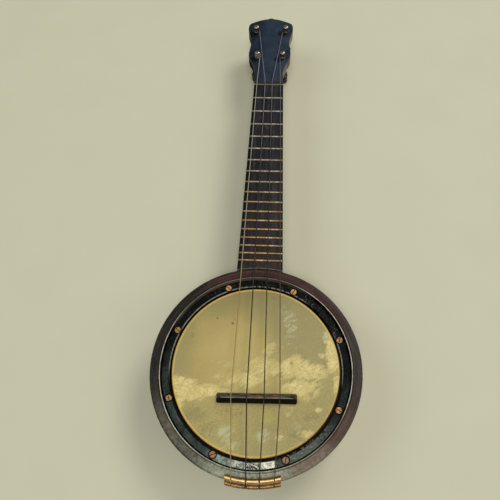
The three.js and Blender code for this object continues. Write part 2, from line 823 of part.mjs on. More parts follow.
function makeBushing() {
  return turnedRing(
    [
      [shaftBoreRadius, sleeveBottom],
      [sleeveRadius, sleeveBottom],
      [sleeveRadius, faceTop],
      [bushingFlangeRadius, faceTop],
      [bushingFlangeRadius, faceTop + bushingFlangeHeight / 2],
      [bushingFlangeRadius - bushingFlangeHeight / 2, faceTop + bushingFlangeHeight],
      [shaftBoreRadius, faceTop + bushingFlangeHeight],
    ],
    smallSides,
  );
}

// The peg from its tenon in the button to the domed top, with a blind hole for the button's screw
function makePegShaft() {
  const tenonBottom = buttonBottom + buttonHeight / 2 - fitGap;
  const headBottom = postTop - postDomeHeight - postHeadHeight;
  const shoulder = (postRadius - postWaistRadius) / 2;
  const holeRadius = buttonScrewShankRadius + fitGap;
  const body = turned(
    [
      [0, tenonBottom + buttonScrewLength],
      [holeRadius, tenonBottom + buttonScrewLength],
      [holeRadius, tenonBottom],
      [tenonRadius, tenonBottom],
      [tenonRadius, stemBottom],
      [stemRadius, stemBottom],
      [stemWaistRadius, stemBottom + stemLength / 3],
      [stemRadius, stemTop],
      [postRadius, stemTop],
      [postRadius, windingBottom - fitGap - shoulder],
      [postWaistRadius, windingBottom - fitGap],
      [postWaistRadius, headBottom - shoulder],
      [postRadius, headBottom],
      [postRadius, headBottom + postHeadHeight],
      [postRadius / 2, postTop - postDomeHeight / 5],
      [0, postTop],
    ],
    smallSides,
  );
  const holeMiddle = (windingBottom + headBottom) / 2;
  const hole = cylinder(stringHoleRadius, -postRadius - cutOverrun, postRadius + cutOverrun, smallSides / 2)
    .rotate([0, 90, 0])
    .translate([0, 0, holeMiddle]);
  return body.subtract(hole);
}

function makePegButton() {
  const bore = tenonRadius + fitGap;
  const sinkRadius = buttonScrewHeadRadius + fitGap;
  const sinkTop = buttonBottom + buttonScrewHeadHeight + buttonScrewSink + fitGap;
  const grip = turned(
    [
      [0, buttonBottom],
      [buttonHalfLength - buttonRound, buttonBottom],
      [buttonHalfLength, buttonBottom + buttonRound],
      [buttonHalfLength, buttonTop - buttonRound],
      [buttonHalfLength - buttonRound, buttonTop],
      [0, buttonTop],
    ],
    buttonSides,
  ).scale([1, buttonOvalShare, 1]);
  const well = cylinder(bore, buttonBottom - cutOverrun, buttonTop + cutOverrun);
  const sink = cylinder(sinkRadius, buttonBottom - cutOverrun, sinkTop);
  return cutAll(grip, [well, sink]);
}

function makePegScrew() {
  const shankLength = buttonHeight / 2 + buttonScrewLength / 2;
  const seat = buttonBottom + buttonScrewSink + buttonScrewHeadHeight;
  return slottedScrew(buttonScrewHeadRadius, buttonScrewHeadHeight, buttonScrewShankRadius, shankLength)
    .rotate([180, 0, 0])
    .translate([0, 0, seat]);
}

// The winding of one string: it meets the post on its inner side and climbs it turn by turn
function windingPoints(i, from) {
  const { x, y, windSide } = pegs[i];
  const radius = postWaistRadius + fitGap + stringRadii[i];
  const reach = Math.hypot(from.x - x, from.y - y);
  const towards = Math.atan2(from.y - y, from.x - x);
  const firstAngle = towards + windSide * Math.acos(radius / reach);
  const bottom = windingBottom + stringRadii[i];
  const pitch = 2 * stringRadii[i] + windingGap;
  const steps = Math.round(stringWindingTurns[i] * windingSteps);
  return Array.from({ length: steps + 1 }, (unused, k) => {
    const turns = k / windingSteps;
    const angle = firstAngle + windSide * 2 * Math.PI * turns;
    const height = bottom + pitch * turns;
    return new THREE.Vector3(x + radius * Math.cos(angle), y + radius * Math.sin(angle), height);
  });
}

// The least distance between two stretches of a winding, less the string's own thickness
function leastWindingGap(points, radius) {
  const half = windingSteps / 2;
  let least = Infinity;
  points.forEach((point, i) => {
    points.slice(i + half).forEach((later) => {
      least = Math.min(least, point.distanceTo(later));
    });
  });
  return least - 2 * radius;
}

// A point turned round Z, from the tailpiece's or the bridge's own frame into the pot's
function turnedPoint(x, y, height, degrees) {
  const angle = THREE.MathUtils.degToRad(degrees);
  return new THREE.Vector3(x, y, height).applyAxisAngle(new THREE.Vector3(0, 0, 1), angle);
}

function tailPoint(x, radius, height) {
  return turnedPoint(x, tailY(x, radius), height, tailTurnDegrees);
}

function bridgePoint(x) {
  const middle = new THREE.Vector3(bridgeSideShift, bridgePlace, 0);
  return turnedPoint(x, 0, bridgeTop, bridgeTurnDegrees).add(middle);
}

// From the knot under the lower roll, over the upper roll and the bridge, through the nut, round the post
function makeString(i) {
  const radius = stringRadii[i];
  const tailX = tailStringPlaces[i];
  const reach = radius + fitGap;
  const knotHeight = lowerRollMiddle - lowerRollRadius - fitGap - knotRadius;
  const downRadius = tailPlateOuter + fitGap + reach;
  const knot = tailPoint(tailX, tailPlateOuter + fitGap + knotRadius, knotHeight);
  const nutPoint = new THREE.Vector3(nutStringPlaces[i], nutDistance + nutLength / 2, stringHeightAtNut(i));
  const winding = windingPoints(i, nutPoint);
  const points = [
    knot,
    tailPoint(tailX, downRadius, tailTop),
    tailPoint(tailX, (downRadius + upperRollPlace) / 2, (tailTop + stringHeightAtTail(i)) / 2 + reach),
    tailPoint(tailX, upperRollPlace, stringHeightAtTail(i)),
    bridgePoint(bridgeStringPlaces[i]),
    nutPoint,
    ...winding,
  ];
  const gap = leastWindingGap(winding, radius);
  console.log("string " + (i + 1) + " winding: least gap " + gap.toFixed(2) + " mm");
  const bead = solid(new THREE.IcosahedronGeometry(knotRadius, 1)).translate(knot.toArray());
  return solid(tubeGeometry(points, radius, stringSides)).add(bead);
}

add("pot_rim", makePotRim(), materials.rimWood);
add("back_plate", makeBackPlate(), materials.rimWood);
add("bearing_ring", makeBearingRing(), materials.innerWood);
add("head", makeHead(), materials.vellum);
add("flesh_hoop", makeFleshHoop(), materials.brass);
add("tension_ring", makeTensionRing(), materials.ringBlack);
add("dowel_stick", makeDowelStick(), materials.innerWood);
add("end_screw", makeEndScrew(), materials.nickel);
add("neck", makeNeck(), materials.neckWood);
add("headstock_faceplate", makeFaceplate(), materials.faceBlack);
add("fretboard", makeFretboard(), materials.blackWood);
add("nut", makeNut(), materials.bone);
add("bridge", makeBridge(), materials.blackWood);
add("tailpiece", makeTailpiece(), materials.brass);
add("tailpiece_screw", makeTailScrew(), materials.nickel);

for (let number = 1; number <= fretCount; number += 1) {
  add("fret_" + number, makeFret(number), materials.fretWire);
}

screwAngles.forEach((angle, i) => {
  const place = new THREE.Group();
  place.position.set(screwCircleRadius * Math.cos(angle), screwCircleRadius * Math.sin(angle), 0);
  part.add(place);
  add("tension_screw_" + (i + 1), makeTensionScrew(), materials.copper, place);
});

pegs.forEach(({ x, y }, i) => {
  const place = new THREE.Group();
  place.position.set(x, y, 0);
  part.add(place);
  add("peg_bushing_" + (i + 1), makeBushing(), materials.nickel, place);
  add("peg_shaft_" + (i + 1), makePegShaft(), materials.nickel, place);
  const turn = THREE.MathUtils.degToRad(buttonRestTurnsDegrees[i]);
  add("peg_button_" + (i + 1), makePegButton(), materials.buttonBlack, place).rotation.z = turn;
  add("peg_screw_" + (i + 1), makePegScrew(), materials.nickel, place);
});

const stringMaterials = [materials.paleGut, materials.darkGut, materials.darkGut, materials.brownGut];
stringMaterials.forEach((material, i) => add("string_" + (i + 1), makeString(i), material));

export default part;
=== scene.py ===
"""Banjo ukulele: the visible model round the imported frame.

Lengths here are millimetres, and meshes are metres.
"""

import math

import bmesh
import bpy
import numpy as np
from mathutils import Matrix, Vector


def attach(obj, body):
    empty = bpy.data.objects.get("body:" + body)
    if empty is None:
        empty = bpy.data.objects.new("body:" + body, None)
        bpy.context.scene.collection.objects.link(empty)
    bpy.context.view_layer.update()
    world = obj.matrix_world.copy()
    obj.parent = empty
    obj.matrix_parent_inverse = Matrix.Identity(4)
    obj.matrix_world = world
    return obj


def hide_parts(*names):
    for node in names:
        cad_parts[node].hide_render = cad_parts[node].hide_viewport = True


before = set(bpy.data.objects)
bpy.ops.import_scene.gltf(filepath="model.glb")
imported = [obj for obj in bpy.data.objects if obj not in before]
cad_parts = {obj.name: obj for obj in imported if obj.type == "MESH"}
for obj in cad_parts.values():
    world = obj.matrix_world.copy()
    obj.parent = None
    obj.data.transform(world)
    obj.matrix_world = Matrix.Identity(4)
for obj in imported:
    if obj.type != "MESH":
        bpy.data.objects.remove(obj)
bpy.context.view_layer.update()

MM = 0.001
TURN = 2 * math.pi
TINY = 1e-6

# Fineness of the meshes
LATHE_SEGMENTS = 256
SMALL_SEGMENTS = 48
TUBE_SIDES = 14
ROUND_STEPS = 5
BEND_STEPS = 8
CORNER_STEPS = 6
NEAR_HALF = 0.49
CUT_OVERRUN = 1.0
FIT_GAP = 0.3

# Small roundings, from the crispest
HAIR = 0.05
CRISP = 0.1
KEEN = 0.15
FINE = 0.2
SLIGHT = 0.25
SMALL = 0.3
SOFT = 0.4
EASY = 0.5
FULL = 0.8
SEAM_ROUND = 0.02

# Pot, as packed
RIM_TOP = 50.0
POT_RADIUS = 94.7
POT_BORE = 78.0
POT_EDGE_ROUND = 1.8
RECESS_RADIUS = 85.2
RECESS_EDGE_ROUND = 0.5
BEAD_WIDTH = 1.2
BEAD_DROP = 0.4
BEAD_GROOVE = 0.3
BEAD_CREST = 0.5
SCREW_LAND = 41.5
HOOP_WELL = 79.0
LEDGE_TOP = 33.6
LEDGE_BOTTOM = 28.6
LEDGE_BORE = 70.6
BACK_THICKNESS = 5.0
BACK_REBATE = 6.0
BACK_EDGE_ROUND = 0.6

# Skin head, bearing ring and hoop
HEAD_TOP = 46.6
HEAD_THICKNESS = 0.5
HEAD_RADIUS = 75.6
HEAD_SHOULDER = 1.9
TUCK_BOTTOM = 38.1
TUCK_RADIUS = 78.7
# Rings of the flat skin as shares of its radius
HEAD_RING_SHARES = (0.9, 0.8, 0.68, 0.55, 0.4, 0.25, 0.12)

# Tension ring and screws
RING_BORE = 76.8
RING_RADIUS = 84.1
RING_TOP = 46.8
RING_BOTTOM = 43.8
RING_LIP_WIDTH = 1.3
RING_LIP_HEIGHT = 0.5
RING_EDGE_ROUND = 0.45
HOOP_TOP = 41.0
SCREW_COUNT = 8
SCREW_CIRCLE = (RING_BORE + RING_RADIUS) / 2
SCREW_PATTERN_TURN = -1.45
SCREW_HEAD_RADIUS = 2.8
SCREW_PROUD = 0.25
SCREW_RIM_HEIGHT = 0.5
SCREW_CONE_HEIGHT = 1.5
SCREW_SHANK_RADIUS = 1.4
SCREW_LENGTH = 17.0
SCREW_SLOT_WIDTH = 0.75
SCREW_SLOT_DEPTH = 0.7
SCREW_SLOT_BEVEL = 0.07
SCREW_CROWN_ROUND = 0.6
# The way each slot points, as seen in the photograph, in degrees from +X
SCREW_SLOT_TURNS = (75, 60, -35, 135, 110, 25, 80, 150)

# Scale, board and frets
SCALE_LENGTH = 343.0
NUT_DISTANCE = 317.85
NUT_WIDTH = 32.5
BOARD_END_WIDTH = 43.7
BOARD_THICKNESS = 4.5
BOARD_STEPS = 12
FRET_COUNT = 17
FRET_WIDTH = 1.9
FRET_HEIGHT = 1.0
FRET_INSET = 0.25
FRET_SIDES = 14
FRET_NARROWING = 0.2
# Depth in from a fret's end, and the share of its height there
FRET_ENDS = ((0, 0.12), (0.12, 0.42), (0.35, 0.75), (0.8, 0.96), (2.2, 1.0))
TANG_WIDTH = 0.6
TANG_DEPTH = 1.6
TANG_GAP = 0.05
NUT_LENGTH = 3.0
NUT_RISE = 2.5
NUT_SHOULDER = 1.0
NUT_CREST_SHARE = 0.4
NUT_CREST_ROUND = 0.7
NUT_FRONT_ROUND = 0.35
NUT_NOTCH_GAP = 0.12
# Depth in from the nut's end, and how much smaller it is there
NUT_ENDS = ((0, 0.3), (0.12, 0.1), (0.35, 0))

# Neck and headstock
NECK_DEPTH_AT_NUT = 13.0
NECK_DEPTH_AT_BODY = 17.0
HEEL_FLOOR_GAP = 6.0
HEEL_LENGTH = 46.0
HEEL_FACE = POT_RADIUS + FIT_GAP
NECK_ROUND_POWER = 2.3
NECK_TAIL = 16.0
NECK_SIDES = 48
NECK_STATIONS = 90
NECK_STATION_POWER = 1.4
NECK_TOP_SINK = 0.15
HEADSTOCK_LENGTH = 99.3
HEADSTOCK_HALF_WIDTH = 26.6
HEADSTOCK_SHIFT = -0.7
HEADSTOCK_CORE = 12.0
FACEPLATE = 2.0
CROWN_HALF_WIDTH = 3.6
CORE_EDGE_ROUND = 1.6
FACE_EDGE_ROUND = 0.35
OUTLINE_STEPS = 160
# Points of the crown between its shoulder and its tip, as shares of its half width
CROWN_SHARES = (0.35, 0.7)
# Half width and distance from the nut, as shares of the headstock's half width and length
OUTLINE_SHARES = (
    (0.6, 0), (0.59, 0.1), (0.62, 0.18), (0.74, 0.3), (0.865, 0.37), (0.912, 0.43), (0.88, 0.515),
    (0.843, 0.6), (0.885, 0.7), (0.975, 0.79), (0.985, 0.86), (0.905, 0.91), (0.62, 0.95), (0.3, 0.98),
    (0, 0.991),
)

# Pegs: side, distance and the side the string winds on
PEGS = ((-14.4, 361.05, 1), (-17.2, 400.25, 1), (17.2, 400.25, -1), (14.4, 361.05, -1))
POST_RADIUS = 2.9
POST_WAIST = 2.3
POST_HEIGHT = 7.0
POST_HEAD_HEIGHT = 1.2
POST_DOME = 0.8
POST_DOME_FOOT = 0.4
POST_DOME_DEGREES = (12, 24, 36, 48, 60, 72, 82)
STRING_HOLE_SEGMENTS = 20
STRING_HOLE = 0.6
BUSHING_FLANGE = 4.0
BUSHING_HEIGHT = 0.8
BUSHING_WALL = 0.6
BUSHING_DEPTH = 6.0
BUSHING_FOOT_ROUND = 0.08
BUSHING_MOUTH_ROUND = 0.12
STEM_RADIUS = 4.4
STEM_WAIST = 3.4
STEM_LENGTH = 14.2
STEM_FOOT = 1.6
STEM_WAIST_ROUND = 2.5
STEM_NECK = 2.2
STEM_NECK_ROUND = 2.0
STEM_COLLAR = 1.2
BUTTON_HALF_LENGTH = 8.5
BUTTON_OVAL = 0.76
BUTTON_HEIGHT = 10.0
BUTTON_ROUND = 2.4
BUTTON_WAIST = 0.55
BUTTON_POWER = 0.92
BUTTON_STEPS = 24
BUTTON_SIDES = 72
BUTTON_TURNS = (0, 90, 80, 100)
TENON_RADIUS = 2.1
PEG_SCREW_HEAD = 3.0
PEG_SCREW_HEIGHT = 1.1
PEG_SCREW_SINK = 0.3
PEG_SCREW_SHANK = 0.9
PEG_SCREW_BITE = 5.0
PEG_SLOT_START = 30
PEG_SLOT_STEP = 47
SCREW_EDGE_SHARE = 0.3
SCREW_DOME_DEGREES = (0, 15, 30, 45, 60, 75)

# Dowel and end screw
DOWEL_SIDE = 16.0
DOWEL_MIDDLE = 20.0
DOWEL_TENON = 10.0
END_HEAD_RADIUS = 4.0
END_HEAD_HEIGHT = 2.2
END_SHANK = 2.0
END_GRIP = 22.0
END_SLOT_TURN = 20

# Tailpiece
TAIL_TURN = 1.42
TAIL_WIDTH = 46.4
TAIL_SHEET = 1.0
TAIL_FLANGE = 3.4
TAIL_SKIRT = 26.0
ROLL_TRIM = 0.05
ROLL_SIDES = 40
UPPER_ROLL = 2.1
UPPER_ROLL_PLACE = POT_RADIUS - 2.0
LOWER_ROLL = 1.95
TAIL_PLATE = POT_RADIUS + FIT_GAP
LOWER_ROLL_PLACE = TAIL_PLATE + LOWER_ROLL
LOWER_ROLL_HEIGHT = RIM_TOP - 1.4
TAIL_NOTCH = 2.1
TAIL_STEPS = 96
TAIL_BEND_ROUND = 0.9
TAIL_BEVEL = 0.18
TAIL_SCREW_HEAD = 3.0
TAIL_SCREW_HEIGHT = 1.5
TAIL_SCREW_SHANK = 1.5
TAIL_SCREW_GRIP = 11.0
TAIL_SCREW_DROP = 19.0
TAIL_SLOT_TURN = 65

# Bridge
BRIDGE_PLACE = NUT_DISTANCE - SCALE_LENGTH - 1.05
BRIDGE_SHIFT = 2.35
BRIDGE_TURN = 1.5
BRIDGE_LENGTH = 70.4
BRIDGE_THICKNESS = 8.4
BRIDGE_HEIGHT = 7.5
BRIDGE_SIDE = 2.4
BRIDGE_RIDGE = 1.4
BRIDGE_HIP = 4.3
BRIDGE_CORNER = 1.5
BRIDGE_FOOT = 9.0
BRIDGE_ARCH = 1.8
BRIDGE_RIDGE_SPREAD = 0.3
BRIDGE_BELLY = 0.35
BRIDGE_CROWN = 0.45
BRIDGE_CROWN_CORNER = 0.14
BRIDGE_NOTCH_GAP = 0.08
BRIDGE_STEPS = 8
ARCH_STEPS = 24
# Depth below the bridge's top, and how far in its ridge is there
BRIDGE_CROWN_STEPS = ((0.18, 0.08), (0.05, 0.28), (0, 0.5))

# Strings from the left
STRING_RADII = (0.36, 0.5, 0.43, 0.36)
STRING_TURNS = (2.25, 1.75, 2.0, 2.25)
NUT_PLACES = (-13.05, -3.9, 3.9, 13.05)
BRIDGE_PLACES = (-22.1, -8.4, 6.7, 20.4)
TAIL_PLACES = (-17.95, -5.55, 5.55, 17.95)
STRING_OVER_FRET = 0.6
WINDING_GAP = 0.46
WINDING_STEPS = 48
STRING_SEAT = 0.06
STRING_SLOTS = ("string_pale", "string_dark", "string_dark", "string_brown")
KNOT_RADIUS = 1.25
KNOT_LUMPS = 0.1
KNOT_TWIST = 2.2
KNOT_STEPS = 16
KNOT_SIDES = 24
BEND_REACH = 2.2
BRIDGE_BEND = 1.0
NUT_BEND = 1.5

# Places that follow
HEADSTOCK_START = NUT_DISTANCE + NUT_LENGTH
BOARD_BOTTOM = RIM_TOP - BOARD_THICKNESS
HEADSTOCK_BACK = BOARD_BOTTOM - HEADSTOCK_CORE
FACE_TOP = BOARD_BOTTOM + FACEPLATE
SHAFT_BORE = POST_RADIUS + FIT_GAP
SLEEVE_RADIUS = SHAFT_BORE + BUSHING_WALL
SLEEVE_BOTTOM = FACE_TOP - BUSHING_DEPTH
POST_TOP = FACE_TOP + POST_HEIGHT
WINDING_BOTTOM = FACE_TOP + BUSHING_HEIGHT + FIT_GAP
STEM_TOP = HEADSTOCK_BACK - FIT_GAP
STEM_BOTTOM = STEM_TOP - STEM_LENGTH
BUTTON_TOP = STEM_BOTTOM - FIT_GAP
BUTTON_BOTTOM = BUTTON_TOP - BUTTON_HEIGHT
BRIDGE_TOP = HEAD_TOP + BRIDGE_HEIGHT
UPPER_ROLL_TOP = RIM_TOP + 2 * UPPER_ROLL
TAIL_OUTER = TAIL_PLATE + TAIL_SHEET
TAIL_SCREW_PLACE = RIM_TOP - TAIL_SCREW_DROP
SCREW_TOP = RING_TOP + SCREW_PROUD
SCREW_RIM_BOTTOM = SCREW_TOP - SCREW_RIM_HEIGHT

# Camera and light
CAMERA_PLACE = (0.021944, -0.094950, 0.528835)
CAMERA_TURN = (0.41220, 0.05510, 0.04160)
FOCAL_PIXELS = 537.55
PICTURE_PIXELS = 500
SENSOR_WIDTH = 36.0
CLIP_START = 0.01
CLIP_END = 20
FLOOR_HALF = 3.0
WORLD_STRENGTH = 0.15
WORLD_COLOR = (0.93, 0.98, 1.0, 1.0)
LIGHT_TARGET = (0, 0.12, 0)
# Name, azimuth from the neck's direction, elevation, distance, size, power and colour
LIGHTS = (
    ("key", 40, 48, 3.0, 1.3, 36.0, (1.0, 0.98, 0.94)),
    ("top", 178, 69, 3.0, 1.1, 37.0, (1.0, 0.99, 0.96)),
    ("fill_left", -80, 46, 2.8, 1.8, 18.0, (0.96, 0.98, 1.0)),
    ("fill_right", 105, 46, 2.8, 1.8, 13.0, (1.0, 0.98, 0.94)),
)


# Mesh tools

def turn_steps(count):
    """Equal angles round a full turn."""
    return [TURN * k / count for k in range(count)]


def mesh_piece(name, vertices, faces, material=None):
    mesh = bpy.data.meshes.new(name)
    mesh.from_pydata([(x * MM, y * MM, z * MM) for x, y, z in vertices], [], faces)
    mesh.validate()
    shape = bmesh.new()
    shape.from_mesh(mesh)
    bmesh.ops.recalc_face_normals(shape, faces=shape.faces)
    shape.to_mesh(mesh)
    shape.free()
    if material:
        mesh.materials.append(material)
    piece = bpy.data.objects.new(name, mesh)
    bpy.context.scene.collection.objects.link(piece)
    return piece


def softened(corners, closed=True, steps=ROUND_STEPS):
    """Points along corners given as (x, z, rounding), each with its own small arc."""
    points = []
    count = len(corners)
    for i, (*place, rounding) in enumerate(corners):
        here = Vector(place)
        if rounding < TINY or (not closed and i in (0, count - 1)):
            points.append(tuple(here))
            continue
        before = Vector(corners[i - 1][:-1]) - here
        after = Vector(corners[(i + 1) % count][:-1]) - here
        start = here + before.normalized() * min(rounding, before.length * NEAR_HALF)
        end = here + after.normalized() * min(rounding, after.length * NEAR_HALF)
        for step in range(steps + 1):
            t = step / steps
            points.append(tuple(start * (1 - t) ** 2 + here * 2 * t * (1 - t) + end * t ** 2))
    return points


def lathe(name, profile, material=None, segments=LATHE_SEGMENTS, closed=True):
    """A profile of (radius, height) turned round Z: up its outside and down its inside."""
    vertices = []
    rows = []
    for radius, height in profile:
        start = len(vertices)
        if radius < TINY:
            vertices.append((0, 0, height))
            rows.append([start] * segments)
            continue
        rows.append(list(range(start, start + segments)))
        for angle in turn_steps(segments):
            vertices.append((radius * math.cos(angle), radius * math.sin(angle), height))
    faces = []
    count = len(profile)
    for i in range(count if closed else count - 1):
        lower = rows[i]
        upper = rows[(i + 1) % count]
        for k in range(segments):
            n = (k + 1) % segments
            corners = list(dict.fromkeys((lower[k], lower[n], upper[n], upper[k])))
            if len(corners) > 2:
                faces.append(corners)
    return mesh_piece(name, vertices, faces, material)


def loft(name, rings, material=None, closed=False):
    """Rings of equally many points joined in turn. An open loft gets a cap at each end."""
    count = len(rings[0])
    vertices = [point for ring in rings for point in ring]
    faces = []
    last = len(rings)
    for r in range(last if closed else last - 1):
        for k in range(count):
            n = (k + 1) % count
            upper = (r + 1) % last * count
            faces.append((r * count + k, r * count + n, upper + n, upper + k))
    if not closed:
        faces.append(tuple(reversed(range(count))))
        faces.append(tuple(range((last - 1) * count, last * count)))
    return mesh_piece(name, vertices, faces, material)


def inset(outline, depth):
    """The anticlockwise outline of (x, y) moved inwards, its two ends square to their own edges."""
    points = np.array(outline, float)
    along = np.gradient(points, axis=0)
    along /= np.maximum(np.linalg.norm(along, axis=1), TINY)[:, None]
    inward = np.stack([-along[:, 1], along[:, 0]], 1)
    return points + inward * depth


def slab(name, outline, bottom, top, round_bottom, round_top, material=None):
    """A flat outline raised from bottom to top, with its edges rounded."""
    levels = []
    arc = [math.pi / 2 * step / ROUND_STEPS for step in range(ROUND_STEPS + 1)]
    for angle in arc:
        levels.append((round_bottom * (1 - math.sin(angle)), bottom + round_bottom * (1 - math.cos(angle))))
    for angle in arc:
        levels.append((round_top * (1 - math.cos(angle)), top - round_top * (1 - math.sin(angle))))
    rings = [[(x, y, height) for x, y in inset(outline, depth)] for depth, height in levels]
    return loft(name, rings, material)


def block(x_range, y_range, z_range):
    x0, x1 = x_range
    y0, y1 = y_range
    z0, z1 = z_range
    lower = [(x0, y0, z0), (x1, y0, z0), (x1, y1, z0), (x0, y1, z0)]
    upper = [(x, y, z1) for x, y, _ in lower]
    return loft("cutter", [lower, upper])


def tube(name, path, radius, material=None):
    """A round tube along the path."""
    points = [Vector(p) for p in path]
    side = Vector((1, 0, 0))
    rings = []
    for i, point in enumerate(points):
        along = (points[min(i + 1, len(points) - 1)] - points[max(i - 1, 0)]).normalized()
        side = (side - along * side.dot(along)).normalized()
        up = along.cross(side)
        circle = [side * math.cos(angle) + up * math.sin(angle) for angle in turn_steps(TUBE_SIDES)]
        rings.append([tuple(point + out * radius) for out in circle])
    return loft(name, rings, material)


def applied(piece):
    """The piece with its modifiers made part of its mesh."""
    bpy.context.view_layer.update()
    depsgraph = bpy.context.evaluated_depsgraph_get()
    mesh = bpy.data.meshes.new_from_object(piece.evaluated_get(depsgraph))
    old = piece.data
    piece.modifiers.clear()
    piece.data = mesh
    mesh.name = old.name
    bpy.data.meshes.remove(old)
    return piece


def combined(piece, tools, operation="DIFFERENCE"):
    """The piece with the tools taken away from it, or joined to it."""
    for tool in tools:
        modifier = piece.modifiers.new("combine", "BOOLEAN")
        modifier.operation = operation
        modifier.object = tool
        modifier.solver = "EXACT"
    applied(piece)
    for tool in tools:
        mesh = tool.data
        bpy.data.objects.remove(tool)
        bpy.data.meshes.remove(mesh)
    return piece


def bevelled(piece, width, segments=2, angle=40):
    modifier = piece.modifiers.new("edges", "BEVEL")
    modifier.width = width * MM
    modifier.segments = segments
    modifier.limit_method = "ANGLE"
    modifier.angle_limit = math.radians(angle)
    modifier.use_clamp_overlap = True
    return applied(piece)


def turned(piece, degrees=0.0, shift=(0, 0, 0), axis="Z"):
    """The piece's mesh turned about an axis and then moved."""
    move = Matrix.Translation([c * MM for c in shift])
    piece.data.transform(move @ Matrix.Rotation(math.radians(degrees), 4, axis))
    return piece


def set_in(piece, body, slot, *nodes, sharp=32):
    """Smooths the piece, rides it on its body and lets it stand for its nodes."""
    piece.data.shade_smooth()
    piece.data.set_sharp_from_angle(angle=math.radians(sharp))
    piece.data.update()
    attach(piece, body)
    if nodes:
        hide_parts(*nodes)
    return piece


# Material tools

EVEN = (1, 1, 1)
# How far one step of a seed moves a texture
SEED_STEPS = (7.31, 3.17, 5.23)
SOCKET_NAMES = {
    "coat": "Coat Weight", "coat_roughness": "Coat Roughness", "metallic": "Metallic",
    "specular": "Specular IOR Level", "transmission": "Transmission Weight",
}


def linear(red, green, blue):
    """A colour as seen, 0 to 255, as the shader takes it."""
    def one(value):
        share = value / 255
        return share / 12.92 if share <= 0.04045 else ((share + 0.055) / 1.055) ** 2.4

    return (one(red), one(green), one(blue), 1.0)


